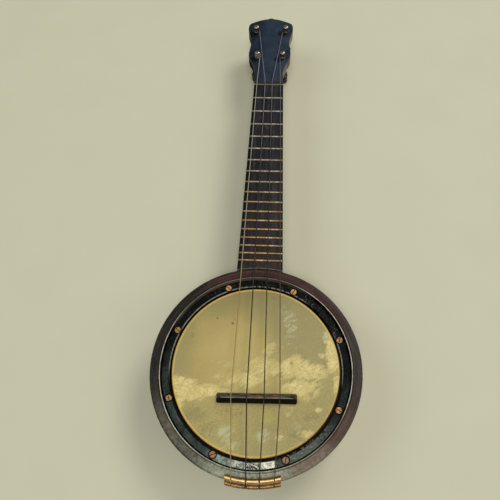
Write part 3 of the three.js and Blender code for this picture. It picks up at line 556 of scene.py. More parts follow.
class Surface:
    """A procedural material in the millimetres of the object's own space, with the colour laid so far."""

    def __init__(self, name):
        self.material = bpy.data.materials.new(name)
        self.material.use_nodes = True
        self.tree = self.material.node_tree
        self.tree.nodes.clear()
        self.color = None
        output = self.tree.nodes.new("ShaderNodeOutputMaterial")
        self.shader = self.tree.nodes.new("ShaderNodeBsdfPrincipled")
        self.feed(output.inputs["Surface"], self.shader.outputs["BSDF"])
        place = self.made("ShaderNodeTexCoord", (), "Object")
        self.place = self.vector("MULTIPLY", place, (1 / MM,) * 3)
        split = self.tree.nodes.new("ShaderNodeSeparateXYZ")
        self.feed(split.inputs[0], self.place)
        self.x, self.y, self.z = split.outputs

    def feed(self, socket, value):
        if isinstance(value, bpy.types.NodeSocket):
            self.tree.links.new(value, socket)
        else:
            socket.default_value = value

    def made(self, kind, inputs, output=0, **settings):
        """An output of a new node, whose inputs are given in turn or by name."""
        node = self.tree.nodes.new(kind)
        for key, value in settings.items():
            setattr(node, key, value)
        for key, value in inputs.items() if isinstance(inputs, dict) else enumerate(inputs):
            self.feed(node.inputs[key], value)
        return node.outputs[output]

    def vector(self, operation, *values):
        output = "Value" if operation == "LENGTH" else 0
        return self.made("ShaderNodeVectorMath", values, output, operation=operation)

    def math(self, operation, *values):
        return self.made("ShaderNodeMath", values, operation=operation)

    def folded(self, operation, values):
        total, *others = values
        for value in others:
            total = self.math(operation, total, value)
        return total

    def both(self, *masks):
        return self.folded("MULTIPLY", masks)

    def either(self, *masks):
        return self.folded("MAXIMUM", masks)

    def total(self, *values):
        return self.folded("ADD", values)

    def scaled(self, mask, share):
        return self.math("MULTIPLY", mask, share)

    def spread(self, value, span, start):
        """The value, 0 to 1, spread over the span from the start."""
        return self.math("MULTIPLY_ADD", value, span, start)

    def fade(self, value, low, high, start=0.0, end=1.0):
        """A smooth change from start at low to end at high."""
        values = (value, low, high, start, end)
        return self.made("ShaderNodeMapRange", values, interpolation_type="SMOOTHSTEP")

    def scattered(self, place, size, stretch, seed):
        """The place in units of size, moved by the seed to another part of a texture."""
        divided = self.vector("DIVIDE", place, tuple(size * s for s in stretch))
        return self.vector("ADD", divided, tuple(seed * step for step in SEED_STEPS))

    def noise(self, size, detail=3.0, roughness=0.5, stretch=EVEN, seed=0.0, distortion=0.0, place=None,
              w=None):
        """Noise whose patches are about size across, longer by the stretch in each direction."""
        inputs = {
            "Vector": self.scattered(self.place if place is None else place, size, stretch, seed),
            "Scale": 1.0, "Detail": detail, "Roughness": roughness, "Distortion": distortion,
        }
        if w is not None:
            inputs["W"] = w
        return self.made("ShaderNodeTexNoise", inputs, noise_dimensions="3D" if w is None else "4D")

    def cells(self, size, seed=0.0):
        """The distance to the nearest of scattered points, in units of size."""
        inputs = {"Vector": self.scattered(self.place, size, EVEN, seed), "Scale": 1.0}
        return self.made("ShaderNodeTexVoronoi", inputs, "Distance")

    def mix(self, mask, first, second):
        """From the first colour to the second, each a socket or as seen, 0 to 255."""
        first, second = [linear(*c) if isinstance(c, tuple) else c for c in (first, second)]
        return self.made("ShaderNodeMix", {0: mask, 6: first, 7: second}, 2, data_type="RGBA")

    def lay(self, mask, tint, share=None):
        """Lays the tint over the colour so far, where the mask is and by the share."""
        self.color = self.mix(mask if share is None else self.scaled(mask, share), self.color, tint)

    def turned(self, degrees):
        """The place turned round Z."""
        inputs = {"Vector": self.place, "Angle": math.radians(degrees)}
        return self.made("ShaderNodeVectorRotate", inputs, rotation_type="Z_AXIS")

    def spot(self, centre, radii, wobble=0.35, soft=0.45, ragged=None):
        """A patch round (x, y), 1 in its middle, with the edge pushed about by a noise."""
        moved = self.vector("SUBTRACT", self.place, (*centre, 0))
        reach = self.vector("LENGTH", self.vector("MULTIPLY", moved, (1 / radii[0], 1 / radii[1], 0)))
        if ragged is not None:
            reach = self.total(reach, self.spread(ragged, 4 * wobble, -2 * wobble))
        return self.fade(reach, 1 + soft, 1 - soft)

    def field(self, rows):
        """A soft height, rising to each row's share at its centre."""
        spots = [self.scaled(self.spot(centre, radii, soft=0.8), share) for centre, radii, share in rows]
        return self.either(0.0, *spots)

    def patches(self, tint, rows, wobble=0.35, soft=0.45, ragged=None):
        """Lays a patch of the tint for each (centre, radii, share)."""
        for centre, radii, share in rows:
            self.lay(self.spot(centre, radii, wobble, soft, ragged), tint, share)

    def arc(self, start, end, soft=12.0):
        """1 between two angles round Z, in degrees from +X towards +Y, fading off at each end."""
        angle = self.scaled(self.math("ARCTAN2", self.y, self.x), 180 / math.pi)
        off = self.math("WRAP", self.math("SUBTRACT", angle, (start + end) / 2), 180, -180)
        half = (end - start) / 2
        return self.fade(self.math("ABSOLUTE", off), half + soft / 2, half - soft / 2)

    def radius(self):
        return self.vector("LENGTH", self.vector("MULTIPLY", self.place, (1, 1, 0)))

    def ring_grain(self, across, along, detail=4.0, roughness=0.55, seed=0.0):
        """Noise drawn out along circles round Z, with no seam."""
        around = self.vector("NORMALIZE", self.vector("MULTIPLY", self.place, (1, 1, 0)))
        lengthened = self.vector("MULTIPLY", around, (POT_RADIUS / along, POT_RADIUS / along, 0))
        height = self.made("ShaderNodeCombineXYZ", {2: self.math("DIVIDE", self.radius(), across)})
        joined = self.vector("ADD", lengthened, height)
        level = self.total(self.math("DIVIDE", self.z, across), seed)
        return self.noise(1.0, detail, roughness, seed=seed, place=joined, w=level)

    def bump(self, height, depth, under=None):
        """Fine relief up to depth millimetres high."""
        inputs = {"Distance": depth * MM, "Height": height}
        if under is not None:
            inputs["Normal"] = under
        return self.made("ShaderNodeBump", inputs)

    def dress(self, roughness, normal=None, **sockets):
        """Gives the shader the colour laid, the roughness, the relief and what else is named."""
        values = {"Base Color": self.color, "Roughness": roughness}
        if normal is not None:
            values["Normal"] = normal
        for key, value in sockets.items():
            values[SOCKET_NAMES[key]] = value
        for key, value in values.items():
            self.feed(self.shader.inputs[key], value)
        return self.material


def board_half_width(distance):
    share = (NUT_DISTANCE - distance) / (NUT_DISTANCE - POT_RADIUS)
    return (NUT_WIDTH + (BOARD_END_WIDTH - NUT_WIDTH) * share) / 2


def screw_angle(number):
    return math.radians(180 / SCREW_COUNT + SCREW_PATTERN_TURN + number * 360 / SCREW_COUNT)


def screw_place(number):
    angle = screw_angle(number)
    return SCREW_CIRCLE * math.cos(angle), SCREW_CIRCLE * math.sin(angle)


# Patches of the head: centre, half widths and share
VELLUM_DARK = (
    ((0, 76), (72, 22), 0.9), ((-72, 26), (14, 46), 0.6), ((-44, 60), (24, 18), 0.5),
    ((50, 46), (34, 34), 0.5), ((26, 60), (26, 20), 0.5), ((46, -46), (32, 26), 0.42),
)
VELLUM_GREY = (
    ((48, 28), (32, 36), 0.75), ((34, -50), (44, 22), 0.6), ((0, -66), (50, 12), 0.5),
    ((60, -26), (14, 26), 0.5), ((20, 50), (22, 14), 0.5), ((-70, 8), (8, 24), 0.5),
)
VELLUM_STAINS = (
    ((-53, -42), (12, 8), 0.9), ((-40, -52), (9, 6), 0.7), ((40, -56), (16, 8), 0.6),
    ((-60, 34), (5, 14), 0.5), ((52, -40), (10, 6), 0.6), ((62, 26), (4, 5), 0.7),
    ((-24, -38), (16, 5), 0.6), ((62, 6), (3, 12), 0.6), ((10, -32), (14, 3), 0.5),
    ((-44, 50), (12, 5), 0.35), ((36, -10), (10, 2), 0.7), ((26, 2), (8, 2), 0.6),
    ((-48, -58), (14, 6), 0.6), ((20, -50), (20, 4), 0.4),
)
VELLUM_PALE = (
    ((-67, -18), (16, 9), 1.0), ((-56, -23), (17, 8), 1.0), ((-67, -32), (8, 10), 0.8),
    ((-40, -21), (20, 6), 0.85), ((-20, -11), (20, 8), 0.64), ((-6, -10), (18, 8), 0.82),
    ((8, 0), (20, 12), 0.76), ((12, 18), (9, 11), 0.6), ((36, 2), (17, 11), 0.9),
    ((51, -1), (13, 8), 1.0), ((40, -15), (18, 8), 0.9), ((46, -24), (9, 5), 0.55),
    ((69, 18), (7, 20), 1.0), ((72, -8), (4, 14), 0.7), ((64, 32), (4, 7), 0.6),
    ((56, -33), (3.4, 2.4), 0.75), ((59, 14), (3.8, 3.6), 0.68), ((-10, -30), (26, 4), 0.42),
    ((30, -36), (10, 7), 0.46), ((24, -58), (8, 5), 0.55), ((48, -54), (9, 4), 0.6),
    ((-28, 4), (12, 6), 0.4), ((30, 22), (8, 6), 0.4), ((-18, -68), (20, 4), 0.45),
    ((40, -62), (8, 3), 0.5),
)
VELLUM_BLUISH = (
    ((30, 46), (7, 10), 0.6), ((32, 34), (8, 12), 0.52), ((-22, -56), (7, 9), 0.8),
    ((8, -57), (9, 7), 0.75), ((38, -47), (4, 5), 0.6), ((62, 31), (3, 6), 0.8),
    ((-16, -64), (10, 4), 0.6), ((24, 56), (4, 5), 0.5),
)
VELLUM_SPOTS = (
    ((-22.8, 40.9), (1.3, 1.1), 0.85), ((-37.5, 45.5), (0.9, 1.0), 0.8), ((-21, 45), (0.6, 0.9), 0.4),
    ((32, 6), (1.2, 0.8), 0.5), ((-8, -3), (0.8, 0.6), 0.4), ((52, -28), (1.2, 0.8), 0.5),
    ((44, 12), (1.0, 0.6), 0.5),
)

# Strings: dark and light tones, the tone by the nut and where it sets in, how clear, and the turns' tone
STRING_LOOKS = (
    ("string_pale", (118, 96, 48), (182, 158, 98), (164, 161, 144), (72, 104), 0.2, (140, 138, 112)),
    ("string_purple", (5, 4, 8), (26, 19, 30), (104, 102, 114), (190, 320), 0.0, (16, 13, 13)),
    ("string_black", (4, 4, 6), (20, 17, 24), (104, 102, 114), (190, 320), 0.0, (16, 13, 13)),
    ("string_brown", (32, 20, 12), (86, 60, 36), (104, 102, 114), (190, 320), 0.05, (22, 16, 12)),
)


# Materials

def lay_varnish(s, stripe, dark_patches):
    """The varnish's colours round the pot, each over its own arc: partly the varnish's own wear, and a
    painted sheen in the pale greys by the tail.
    """
    s.color = s.mix(stripe, (22, 15, 13), (76, 50, 42))
    green = s.mix(stripe, (10, 11, 8), (40, 38, 29))
    s.lay(s.arc(124, 205, 30), green, 0.92)
    # The greys by the tail are partly a painted sheen over the worn varnish.
    grey = s.mix(dark_patches, (108, 109, 90), (60, 60, 49))
    s.lay(s.arc(204, 244, 30), s.mix(s.scaled(stripe, 0.3), grey, (96, 96, 76)), 0.85)
    silt_and_sheen = s.mix(dark_patches, (176, 180, 155), (110, 113, 93))
    s.lay(s.arc(244, 294, 22), s.mix(s.scaled(stripe, 0.25), silt_and_sheen, (132, 132, 108)), 0.9)
    tan = s.mix(dark_patches, (132, 119, 101), (92, 81, 70))
    s.lay(s.arc(292, 318, 14), s.mix(s.scaled(stripe, 0.3), tan, (120, 100, 80)), 0.85)
    red = s.mix(stripe, (48, 34, 28), (104, 82, 70))
    s.lay(s.arc(318, 344, 16), red, 0.6)
    right = s.mix(stripe, (24, 23, 20), (72, 68, 60))
    s.lay(s.arc(-18, 28, 16), right, 0.75)


def lay_pot_edges(s, reach, side_grain):
    """The pot's outside, and its upper edge: worn in places, and black at the left."""
    side = s.fade(s.z, RIM_TOP - 1.4, RIM_TOP - 3.2)
    outside = s.both(side, s.fade(reach, POT_RADIUS - 1.2, POT_RADIUS - 0.4))
    s.lay(outside, s.mix(s.fade(side_grain, 0.34, 0.66), (30, 19, 15), (104, 68, 48)))
    worn = s.fade(s.noise(3.2, 5, 0.68, seed=12), 0.54, 0.62)
    edge = s.both(s.fade(reach, POT_RADIUS - 2.0, POT_RADIUS - 0.9), s.fade(s.z, RIM_TOP - 3, RIM_TOP - 1))
    s.lay(s.both(worn, edge), (124, 84, 56), 0.4)
    dark_edge = s.both(s.fade(reach, POT_RADIUS - 2.6, POT_RADIUS - 0.8), s.arc(60, 245, 30))
    s.lay(dark_edge, (12, 10, 8), 0.55)


def lay_recess(s, reach, side_grain):
    """The bead round the recess, painted shade in the groove outside the bead, and the recess's wall with
    painted light on the neck side and painted shade elsewhere.
    """
    near = s.fade(reach, RECESS_RADIUS + 1.0, RECESS_RADIUS + 0.75)
    bead = s.both(near, s.fade(reach, RECESS_RADIUS - 0.05, RECESS_RADIUS + 0.2))
    bead_grain = s.ring_grain(0.5, 5, 4, 0.65, seed=21)
    bead_color = s.mix(s.fade(bead_grain, 0.32, 0.6), (132, 124, 106), (218, 212, 192))
    shine = s.either(s.arc(-24, 62, 16), s.arc(150, 238, 24))
    shine = s.spread(shine, 0.55, 0.22)
    s.lay(s.both(bead, shine), bead_color)
    # Painted shade in the groove outside the bead.
    groove_out = s.fade(reach, RECESS_RADIUS + 2.0, RECESS_RADIUS + 1.7)
    groove = s.both(s.fade(reach, RECESS_RADIUS + 1.0, RECESS_RADIUS + 1.25), groove_out)
    s.lay(groove, (9, 8, 7), 0.7)
    inside = s.fade(reach, RECESS_RADIUS + 0.3, RECESS_RADIUS + 0.05)
    wall = s.both(inside, s.fade(s.z, RIM_TOP - 0.3, RIM_TOP - 0.9))
    # Painted light and shade on the wall: lit pale tan on the neck side, dark elsewhere.
    wall_color = s.mix(s.arc(58, 152, 16), (20, 16, 13), (134, 112, 96))
    s.lay(wall, s.mix(s.fade(side_grain, 0.4, 0.62, 0, 0.7), wall_color, (30, 24, 20)))


def make_rim_wood():
    """Old dark varnish on the pot: red-brown by the neck, greenish to the left and grey by the tail, where a
    painted sheen lies over the worn varnish.
    """
    s = Surface("rim_wood")
    streaks = s.ring_grain(0.8, 26, 6, 0.68)
    fine = s.ring_grain(0.35, 8, 4, 0.65, seed=3)
    cloudy = s.noise(18, 4, 0.6, seed=5)
    blotch = s.noise(3.2, 7, 0.72, seed=6, distortion=0.3)
    speckle = s.noise(0.9, 5, 0.7, seed=16)
    dark_patches = s.fade(s.total(s.scaled(blotch, 0.6), s.scaled(speckle, 0.4)), 0.38, 0.6)
    lay_varnish(s, s.fade(streaks, 0.34, 0.66), dark_patches)
    s.lay(s.fade(fine, 0.54, 0.7), (12, 9, 8), 0.35)
    s.lay(s.fade(blotch, 0.54, 0.7), (14, 11, 10), 0.4)
    light_marks = s.both(s.fade(speckle, 0.44, 0.32), s.fade(cloudy, 0.42, 0.56))
    s.lay(light_marks, (136, 122, 100), 0.3)
    reach = s.radius()
    side_grain = s.ring_grain(1.1, 40, 5, 0.6, seed=9)
    lay_pot_edges(s, reach, side_grain)
    lay_recess(s, reach, side_grain)
    relief = s.bump(s.total(streaks, s.total(s.scaled(fine, 0.5), s.scaled(speckle, 0.5))), 0.1)
    rough = s.spread(cloudy, 0.26, 0.26)
    return s.dress(rough, relief, specular=0.2)


def make_back_wood():
    """The pot's closed back: straight grain under worn brown varnish."""
    s = Surface("back_wood")
    grain = s.noise(1.4, 6, 0.62, stretch=(1, 22, 6), seed=2, distortion=0.6)
    bands = s.noise(9, 3, 0.5, stretch=(1, 14, 4), seed=4, distortion=0.4)
    s.color = s.mix(grain, (58, 36, 24), (122, 82, 56))
    s.lay(bands, (78, 50, 34), 0.5)
    rub = s.fade(s.noise(26, 4, 0.6, seed=8), 0.5, 0.72)
    s.lay(rub, (146, 106, 74), 0.45)
    scuffs = s.math("GREATER_THAN", s.noise(2.2, 3, 0.6, stretch=(1, 5, 1), seed=11), 0.7)
    s.lay(scuffs, (166, 134, 104), 0.3)
    relief = s.bump(grain, 0.12)
    rough = s.spread(rub, 0.2, 0.4)
    return s.dress(rough, relief, coat=0.15, coat_roughness=0.35)


def make_neck_wood():
    """Straight-grained dark red-brown neck, polished by the hand along its back, with painted shade on the
    headstock's left side.
    """
    s = Surface("neck_wood")
    grain = s.noise(1.1, 6, 0.62, stretch=(1, 26, 1.6), seed=1, distortion=0.5)
    bands = s.noise(6, 3, 0.5, stretch=(1, 18, 1.2), seed=6, distortion=0.3)
    s.color = s.mix(grain, (38, 22, 16), (98, 62, 44))
    s.lay(bands, (60, 36, 26), 0.5)
    rub = s.both(
        s.fade(s.noise(30, 4, 0.6, seed=9), 0.42, 0.68), s.fade(s.z, BOARD_BOTTOM - 2, BOARD_BOTTOM - 10),
    )
    s.lay(rub, (132, 90, 62), 0.4)
    pores = s.fade(s.noise(0.5, 2, 0.5, stretch=(1, 14, 1), seed=15), 0.6, 0.72)
    s.lay(pores, (24, 15, 11), 0.5)
    # Painted shade on the headstock's left side, away from the light.
    shaded_left_wall = s.both(s.fade(s.x, -6, -9), s.fade(s.y, HEADSTOCK_START - 2, HEADSTOCK_START + 2))
    s.lay(shaded_left_wall, (12, 12, 14), 0.92)
    relief = s.bump(s.math("SUBTRACT", grain, pores), 0.1)
    rough = s.either(s.spread(rub, 0.16, 0.3), s.scaled(shaded_left_wall, 0.9))
    polish = s.fade(s.x, -8, -3, 0.0, 0.25)
    gloss = s.fade(s.x, -8, -3, 0.05, 0.3)
    return s.dress(rough, relief, coat=polish, coat_roughness=0.2, specular=gloss)


def make_inner_wood():
    """Bare wood inside the pot: the dowel stick and the ring under the head."""
    s = Surface("inner_wood")
    grain = s.noise(1.3, 6, 0.6, stretch=(1, 20, 1), seed=3, distortion=0.5)
    s.color = s.mix(grain, (120, 88, 58), (180, 144, 104))
    dust = s.noise(14, 4, 0.6, seed=5)
    s.lay(dust, (116, 100, 80), 0.45)
    return s.dress(s.spread(grain, 0.2, 0.62), s.bump(grain, 0.15))


def lay_skin_patches(s, push, streaky, mottled, feather):
    """Stains, pale sponge-edged patches with their veins, and bluish and green clouds."""
    stain = s.fade(s.total(s.field(VELLUM_STAINS), push), 0.4, 0.75)
    s.lay(stain, (122, 112, 72), 0.5)
    pale = s.fade(s.total(s.field(VELLUM_PALE), push), 0.42, 0.74)
    sponge = s.mix(s.fade(s.total(mottled, feather), 0.78, 1.14), (228, 214, 148), (190, 173, 108))
    s.lay(pale, sponge, 0.9)
    veins = s.both(pale, s.fade(streaky, 0.56, 0.66))
    s.lay(veins, (156, 136, 82), 0.5)
    cloudy = s.fade(s.total(s.field(VELLUM_BLUISH), push), 0.4, 0.85)
    s.lay(cloudy, (198, 196, 160), 0.5)
    green = s.fade(s.total(s.field((((14, -41), (9, 6), 0.9),)), push), 0.4, 0.9)
    s.lay(green, (166, 164, 78), 0.45)
    s.patches((112, 84, 42), VELLUM_SPOTS, 0.2, 0.5, mottled)
    return pale


def lay_skin_rim(s, mottled):
    """The skin's outer edge: a bright band, amber beside it, painted shadow and stains, and painted shade
    down its side.
    """
    reach = s.radius()
    bright = s.both(
        s.fade(reach, HEAD_RADIUS - 2.7, HEAD_RADIUS - 1.9), s.fade(mottled, 0.66, 0.42, 0.45, 1),
    )
    bright = s.both(bright, s.math("SUBTRACT", 1.0, s.scaled(s.arc(-52, 12, 30), 0.55)))
    s.lay(bright, (204, 176, 88), 0.75)
    amber = s.mix(s.fade(mottled, 0.4, 0.6), (146, 106, 40), (190, 150, 74))
    s.lay(s.fade(reach, HEAD_RADIUS - 1.3, HEAD_RADIUS - 0.8), amber, 0.9)
    shadowed = s.both(s.arc(-40, 64, 16), s.fade(reach, HEAD_RADIUS - 1.1, HEAD_RADIUS - 0.7))
    s.lay(shadowed, (44, 38, 26), 0.7)
    stained = s.both(s.arc(282, 322, 12), s.fade(reach, HEAD_RADIUS - 1.9, HEAD_RADIUS - 1.2))
    s.lay(stained, (112, 66, 26), 0.55)
    # Painted shade down the skin's side, in the gap by the ring.
    s.lay(s.fade(s.z, HEAD_TOP - 0.35, HEAD_TOP - 0.75), (14, 11, 7))


def make_vellum():
    """Aged skin: smooth yellow-brown above, sponge-edged pale patches across it, and a yellow rim."""
    s = Surface("vellum")
    large = s.noise(30, 4, 0.55, seed=1, distortion=0.4)
    feather = s.noise(9, 9, 0.74, seed=2, distortion=0.3)
    streaky = s.noise(5, 7, 0.72, stretch=(2.6, 1, 1), seed=3, place=s.turned(-34), distortion=0.4)
    mottled = s.noise(2.2, 6, 0.72, seed=4, distortion=0.4)
    fine = s.noise(0.8, 4, 0.68, seed=5)
    push = s.total(
        s.spread(feather, 1.0, -0.5), s.spread(mottled, 1.3, -0.65), s.spread(streaky, 2.2, -1.1),
        s.spread(fine, 0.9, -0.45),
    )
    s.color = s.mix(s.fade(large, 0.32, 0.66), (158, 143, 86), (170, 153, 92))
    s.lay(s.spot((-14, 18), (34, 30), soft=0.9), (180, 160, 97), 0.55)
    s.patches((128, 117, 73), VELLUM_DARK, soft=0.9)
    s.patches((146, 137, 92), VELLUM_GREY, 0.2, 0.8, large)
    lower = s.fade(s.y, -14, -30)
    s.lay(lower, (152, 140, 80), 0.45)
    pale = lay_skin_patches(s, push, streaky, mottled, feather)
    busy = s.either(lower, s.scaled(pale, 0.8))
    busy = s.either(busy, s.fade(s.x, 20, 50, 0.15, 0.6))
    s.lay(s.both(busy, s.fade(mottled, 0.54, 0.7, 0, 0.35)), (122, 108, 66))
    s.lay(s.both(busy, s.fade(fine, 0.5, 0.72, 0, 0.3)), (134, 118, 74))
    s.lay(s.both(busy, s.fade(fine, 0.48, 0.28, 0, 0.4)), (218, 208, 156))
    s.lay(s.fade(fine, 0.52, 0.7), (124, 108, 64), 0.14)
    lay_skin_rim(s, mottled)
    swell = s.total(s.scaled(feather, 1.4), s.scaled(mottled, 0.5))
    relief = s.bump(s.total(swell, s.scaled(fine, 0.2)), 0.14)
    rough = s.spread(feather, 0.3, 0.36)
    return s.dress(rough, relief, specular=0.3)


def lay_japanning_and_sheen(s, across, cloud, mottled):
    """The ring's colours round it, each over its own arc: black japanning, with a painted blue-green and
    pale grey sheen to the left and by the tail, partly the japanning's own wear.
    """
    s.color = s.mix(s.fade(cloud, 0.35, 0.65), (3, 4, 4), (13, 15, 14))
    # Painted sheen: blue-green to the left, pale grey and blue by the tail, partly the japanning's own wear.
    green = s.mix(s.fade(cloud, 0.35, 0.65), (26, 38, 36), (66, 78, 70))
    green = s.mix(s.scaled(across, 0.35), green, (20, 24, 22))
    s.lay(s.arc(184, 252, 44), green, 0.9)
    pale = s.mix(s.fade(mottled, 0.4, 0.64), (150, 166, 152), (70, 84, 78))
    s.lay(s.arc(244, 272, 12), pale, 0.8)
    blue = s.mix(s.fade(mottled, 0.4, 0.62), (92, 102, 92), (26, 36, 34))
    s.lay(s.arc(282, 326, 22), blue, 0.85)
    dusk = s.mix(s.fade(mottled, 0.4, 0.62), (12, 20, 20), (48, 58, 56))
    s.lay(s.arc(330, 352, 20), dusk, 0.7)


def lay_grime_and_find_bare(s, reach):
    """Lays grimy dark patches by the tail, and gives the torn places where the steel is bare."""
    tear = s.noise(1.6, 6, 0.72, stretch=(3, 1, 1), seed=8, place=s.turned(35))
    bare = s.both(s.arc(275.5, 284.5, 2), s.fade(tear, 0.62, 0.5))
    bare = s.either(bare, s.both(s.arc(266.5, 275, 2), s.fade(tear, 0.53, 0.46)))
    bare = s.either(bare, s.both(s.arc(259, 265.5, 4), s.scaled(s.fade(tear, 0.56, 0.46), 0.6)))
    grimy = s.both(s.arc(266.5, 275, 2), s.fade(tear, 0.47, 0.56))
    s.lay(grimy, (26, 32, 26), 0.8)
    outer_clear = s.fade(reach, RING_RADIUS - 0.3, RING_RADIUS - 0.8)
    return s.both(bare, s.both(s.fade(reach, RING_BORE + 1.2, RING_BORE + 1.7), outer_clear))


def ring_nicks(s, mottled):
    """Small nicks through the japanning, thickest by the neck."""
    specks = s.fade(s.cells(0.9, seed=4), 0.3, 0.2)
    speckled = s.either(s.arc(22, 60, 12), s.scaled(s.arc(66, 125, 12), 0.6))
    speckled = s.either(speckled, s.scaled(s.arc(-10, 200, 12), 0.15))
    return s.both(speckled, specks, s.fade(mottled, 0.5, 0.58))


def lip_highlight(s, reach, mottled):
    """A painted highlight along the ring's raised inner lip, where its edge catches the light, laid in the
    colour of bare steel.
    """
    lip_width = s.fade(reach, RING_BORE + RING_LIP_WIDTH, RING_BORE + RING_LIP_WIDTH - 0.4)
    lip = s.both(lip_width, s.fade(s.z, RING_TOP + 0.05, RING_TOP + 0.35))
    lip_place = s.either(s.scaled(s.arc(100, 184, 16), 0.32), s.scaled(s.arc(-6, 24, 12), 0.32))
    lip_place = s.either(lip_place, s.both(s.arc(56, 104, 12), s.fade(mottled, 0.42, 0.62, 0, 0.8)))
    return s.both(lip, s.scaled(lip_place, 0.75))


def make_ring_metal():
    """Black japanning over steel: speckled by the neck, with a painted blue-green and pale grey sheen to the
    left and by the tail, rubbed bare by the tail, and a painted highlight along its inner lip.
    """
    s = Surface("ring_metal")
    cloud = s.noise(8, 5, 0.65, seed=1, distortion=0.6)
    mottled = s.noise(2.2, 6, 0.7, seed=4, distortion=0.3)
    scratch = s.ring_grain(0.3, 6, 5, 0.65, seed=2)
    reach = s.radius()
    across = s.fade(reach, RING_BORE + 1.5, RING_RADIUS - 0.8)
    lay_japanning_and_sheen(s, across, cloud, mottled)
    silver = s.mix(s.fade(mottled, 0.42, 0.58), (236, 230, 204), (164, 168, 150))
    bare = lay_grime_and_find_bare(s, reach)
    worn = s.both(s.arc(289, 312, 8), s.scaled(s.fade(mottled, 0.52, 0.6), 0.4))
    # Painted shade at the outer foot of the inner lip.
    s.lay(s.fade(reach, RING_BORE + 1.7, RING_BORE + 1.3), (5, 5, 5))
    # Bright mask: bare steel, worn places, nicks, the rubbed outer edge, and the painted highlight along the
    # lip.
    bare_and_glint = s.either(bare, worn, lip_highlight(s, reach, mottled))
    bare_and_glint = s.either(bare_and_glint, s.scaled(ring_nicks(s, mottled), 0.75))
    edge = s.both(s.fade(reach, RING_RADIUS - 0.5, RING_RADIUS - 0.15), s.fade(mottled, 0.5, 0.6))
    bare_and_glint = s.either(bare_and_glint, s.scaled(edge, 0.2))
    s.lay(bare_and_glint, silver)
    s.lay(s.fade(scratch, 0.56, 0.7), (8, 9, 8), 0.3)
    # Painted shadow in the countersink round each screw.
    countersink_shade = [(screw_place(number), (SCREW_HEAD_RADIUS + 1.2,) * 2, 0.92) for number in range(SCREW_COUNT)]
    s.patches((9, 9, 8), countersink_shade, soft=0.1)
    relief = s.bump(s.total(s.scaled(cloud, 0.5), s.scaled(s.math("SUBTRACT", mottled, bare_and_glint), 0.6)), 0.1)
    relief = s.bump(scratch, 0.03, under=relief)
    rough = s.spread(cloud, 0.25, 0.25)
    gloss = s.spread(bare_and_glint, 0.4, 0.08)
    return s.dress(rough, relief, metallic=s.scaled(bare_and_glint, 0.1), specular=gloss)


def make_screw_copper():
    """Tarnished coppery brass, brighter on the screws by the neck and darker on those by the tail, with
    painted shade low on the head, in the countersink and down the slot.
    """
    s = Surface("screw_copper")
    blotch = s.noise(1.3, 5, 0.68, seed=2, distortion=0.5)
    brush = s.noise(0.25, 3, 0.6, stretch=(5, 1, 1), seed=5)
    s.color = s.mix(s.fade(blotch, 0.36, 0.64), (198, 150, 92), (112, 76, 50))
    s.lay(s.fade(s.noise(0.8, 4, 0.65, seed=9), 0.52, 0.64), (70, 44, 30), 0.6)
    s.lay(s.arc(50, 130, 10), (214, 160, 88), 0.4)
    s.lay(s.arc(220, 320, 10), (96, 62, 42), 0.4)
    # Painted shade on the head below its top: round its rim in the countersink and down the slot.
    low = s.fade(s.z, RING_TOP + SCREW_PROUD - 0.1, RING_TOP + SCREW_PROUD - 0.3)
    s.lay(low, (20, 12, 9), 0.9)
    relief = s.bump(s.total(blotch, s.scaled(brush, 0.4)), 0.06)
    rough = s.spread(blotch, 0.3, 0.3)
    return s.dress(rough, relief, metallic=0.35, specular=0.4)


def make_brass():
    """The hoop's brass, black with age but for a few yellow places."""
    s = Surface("hoop_brass")
    blotch = s.noise(3.2, 6, 0.68, seed=1, distortion=0.5)
    brush = s.noise(0.5, 3, 0.6, stretch=(9, 1, 1), seed=3)
    s.color = s.mix(s.fade(blotch, 0.32, 0.66), (34, 24, 13), (88, 66, 32))
    tarnish = s.fade(s.noise(1.8, 6, 0.7, seed=6), 0.5, 0.62)
    s.lay(tarnish, (20, 14, 9), 0.7)
    s.lay(s.fade(brush, 0.55, 0.7), (52, 38, 20), 0.3)
    relief = s.bump(s.total(s.scaled(blotch, 0.8), s.scaled(brush, 0.3)), 0.08)
    rough = s.spread(tarnish, 0.25, 0.33)
    return s.dress(rough, relief, metallic=0.6, specular=0.6)


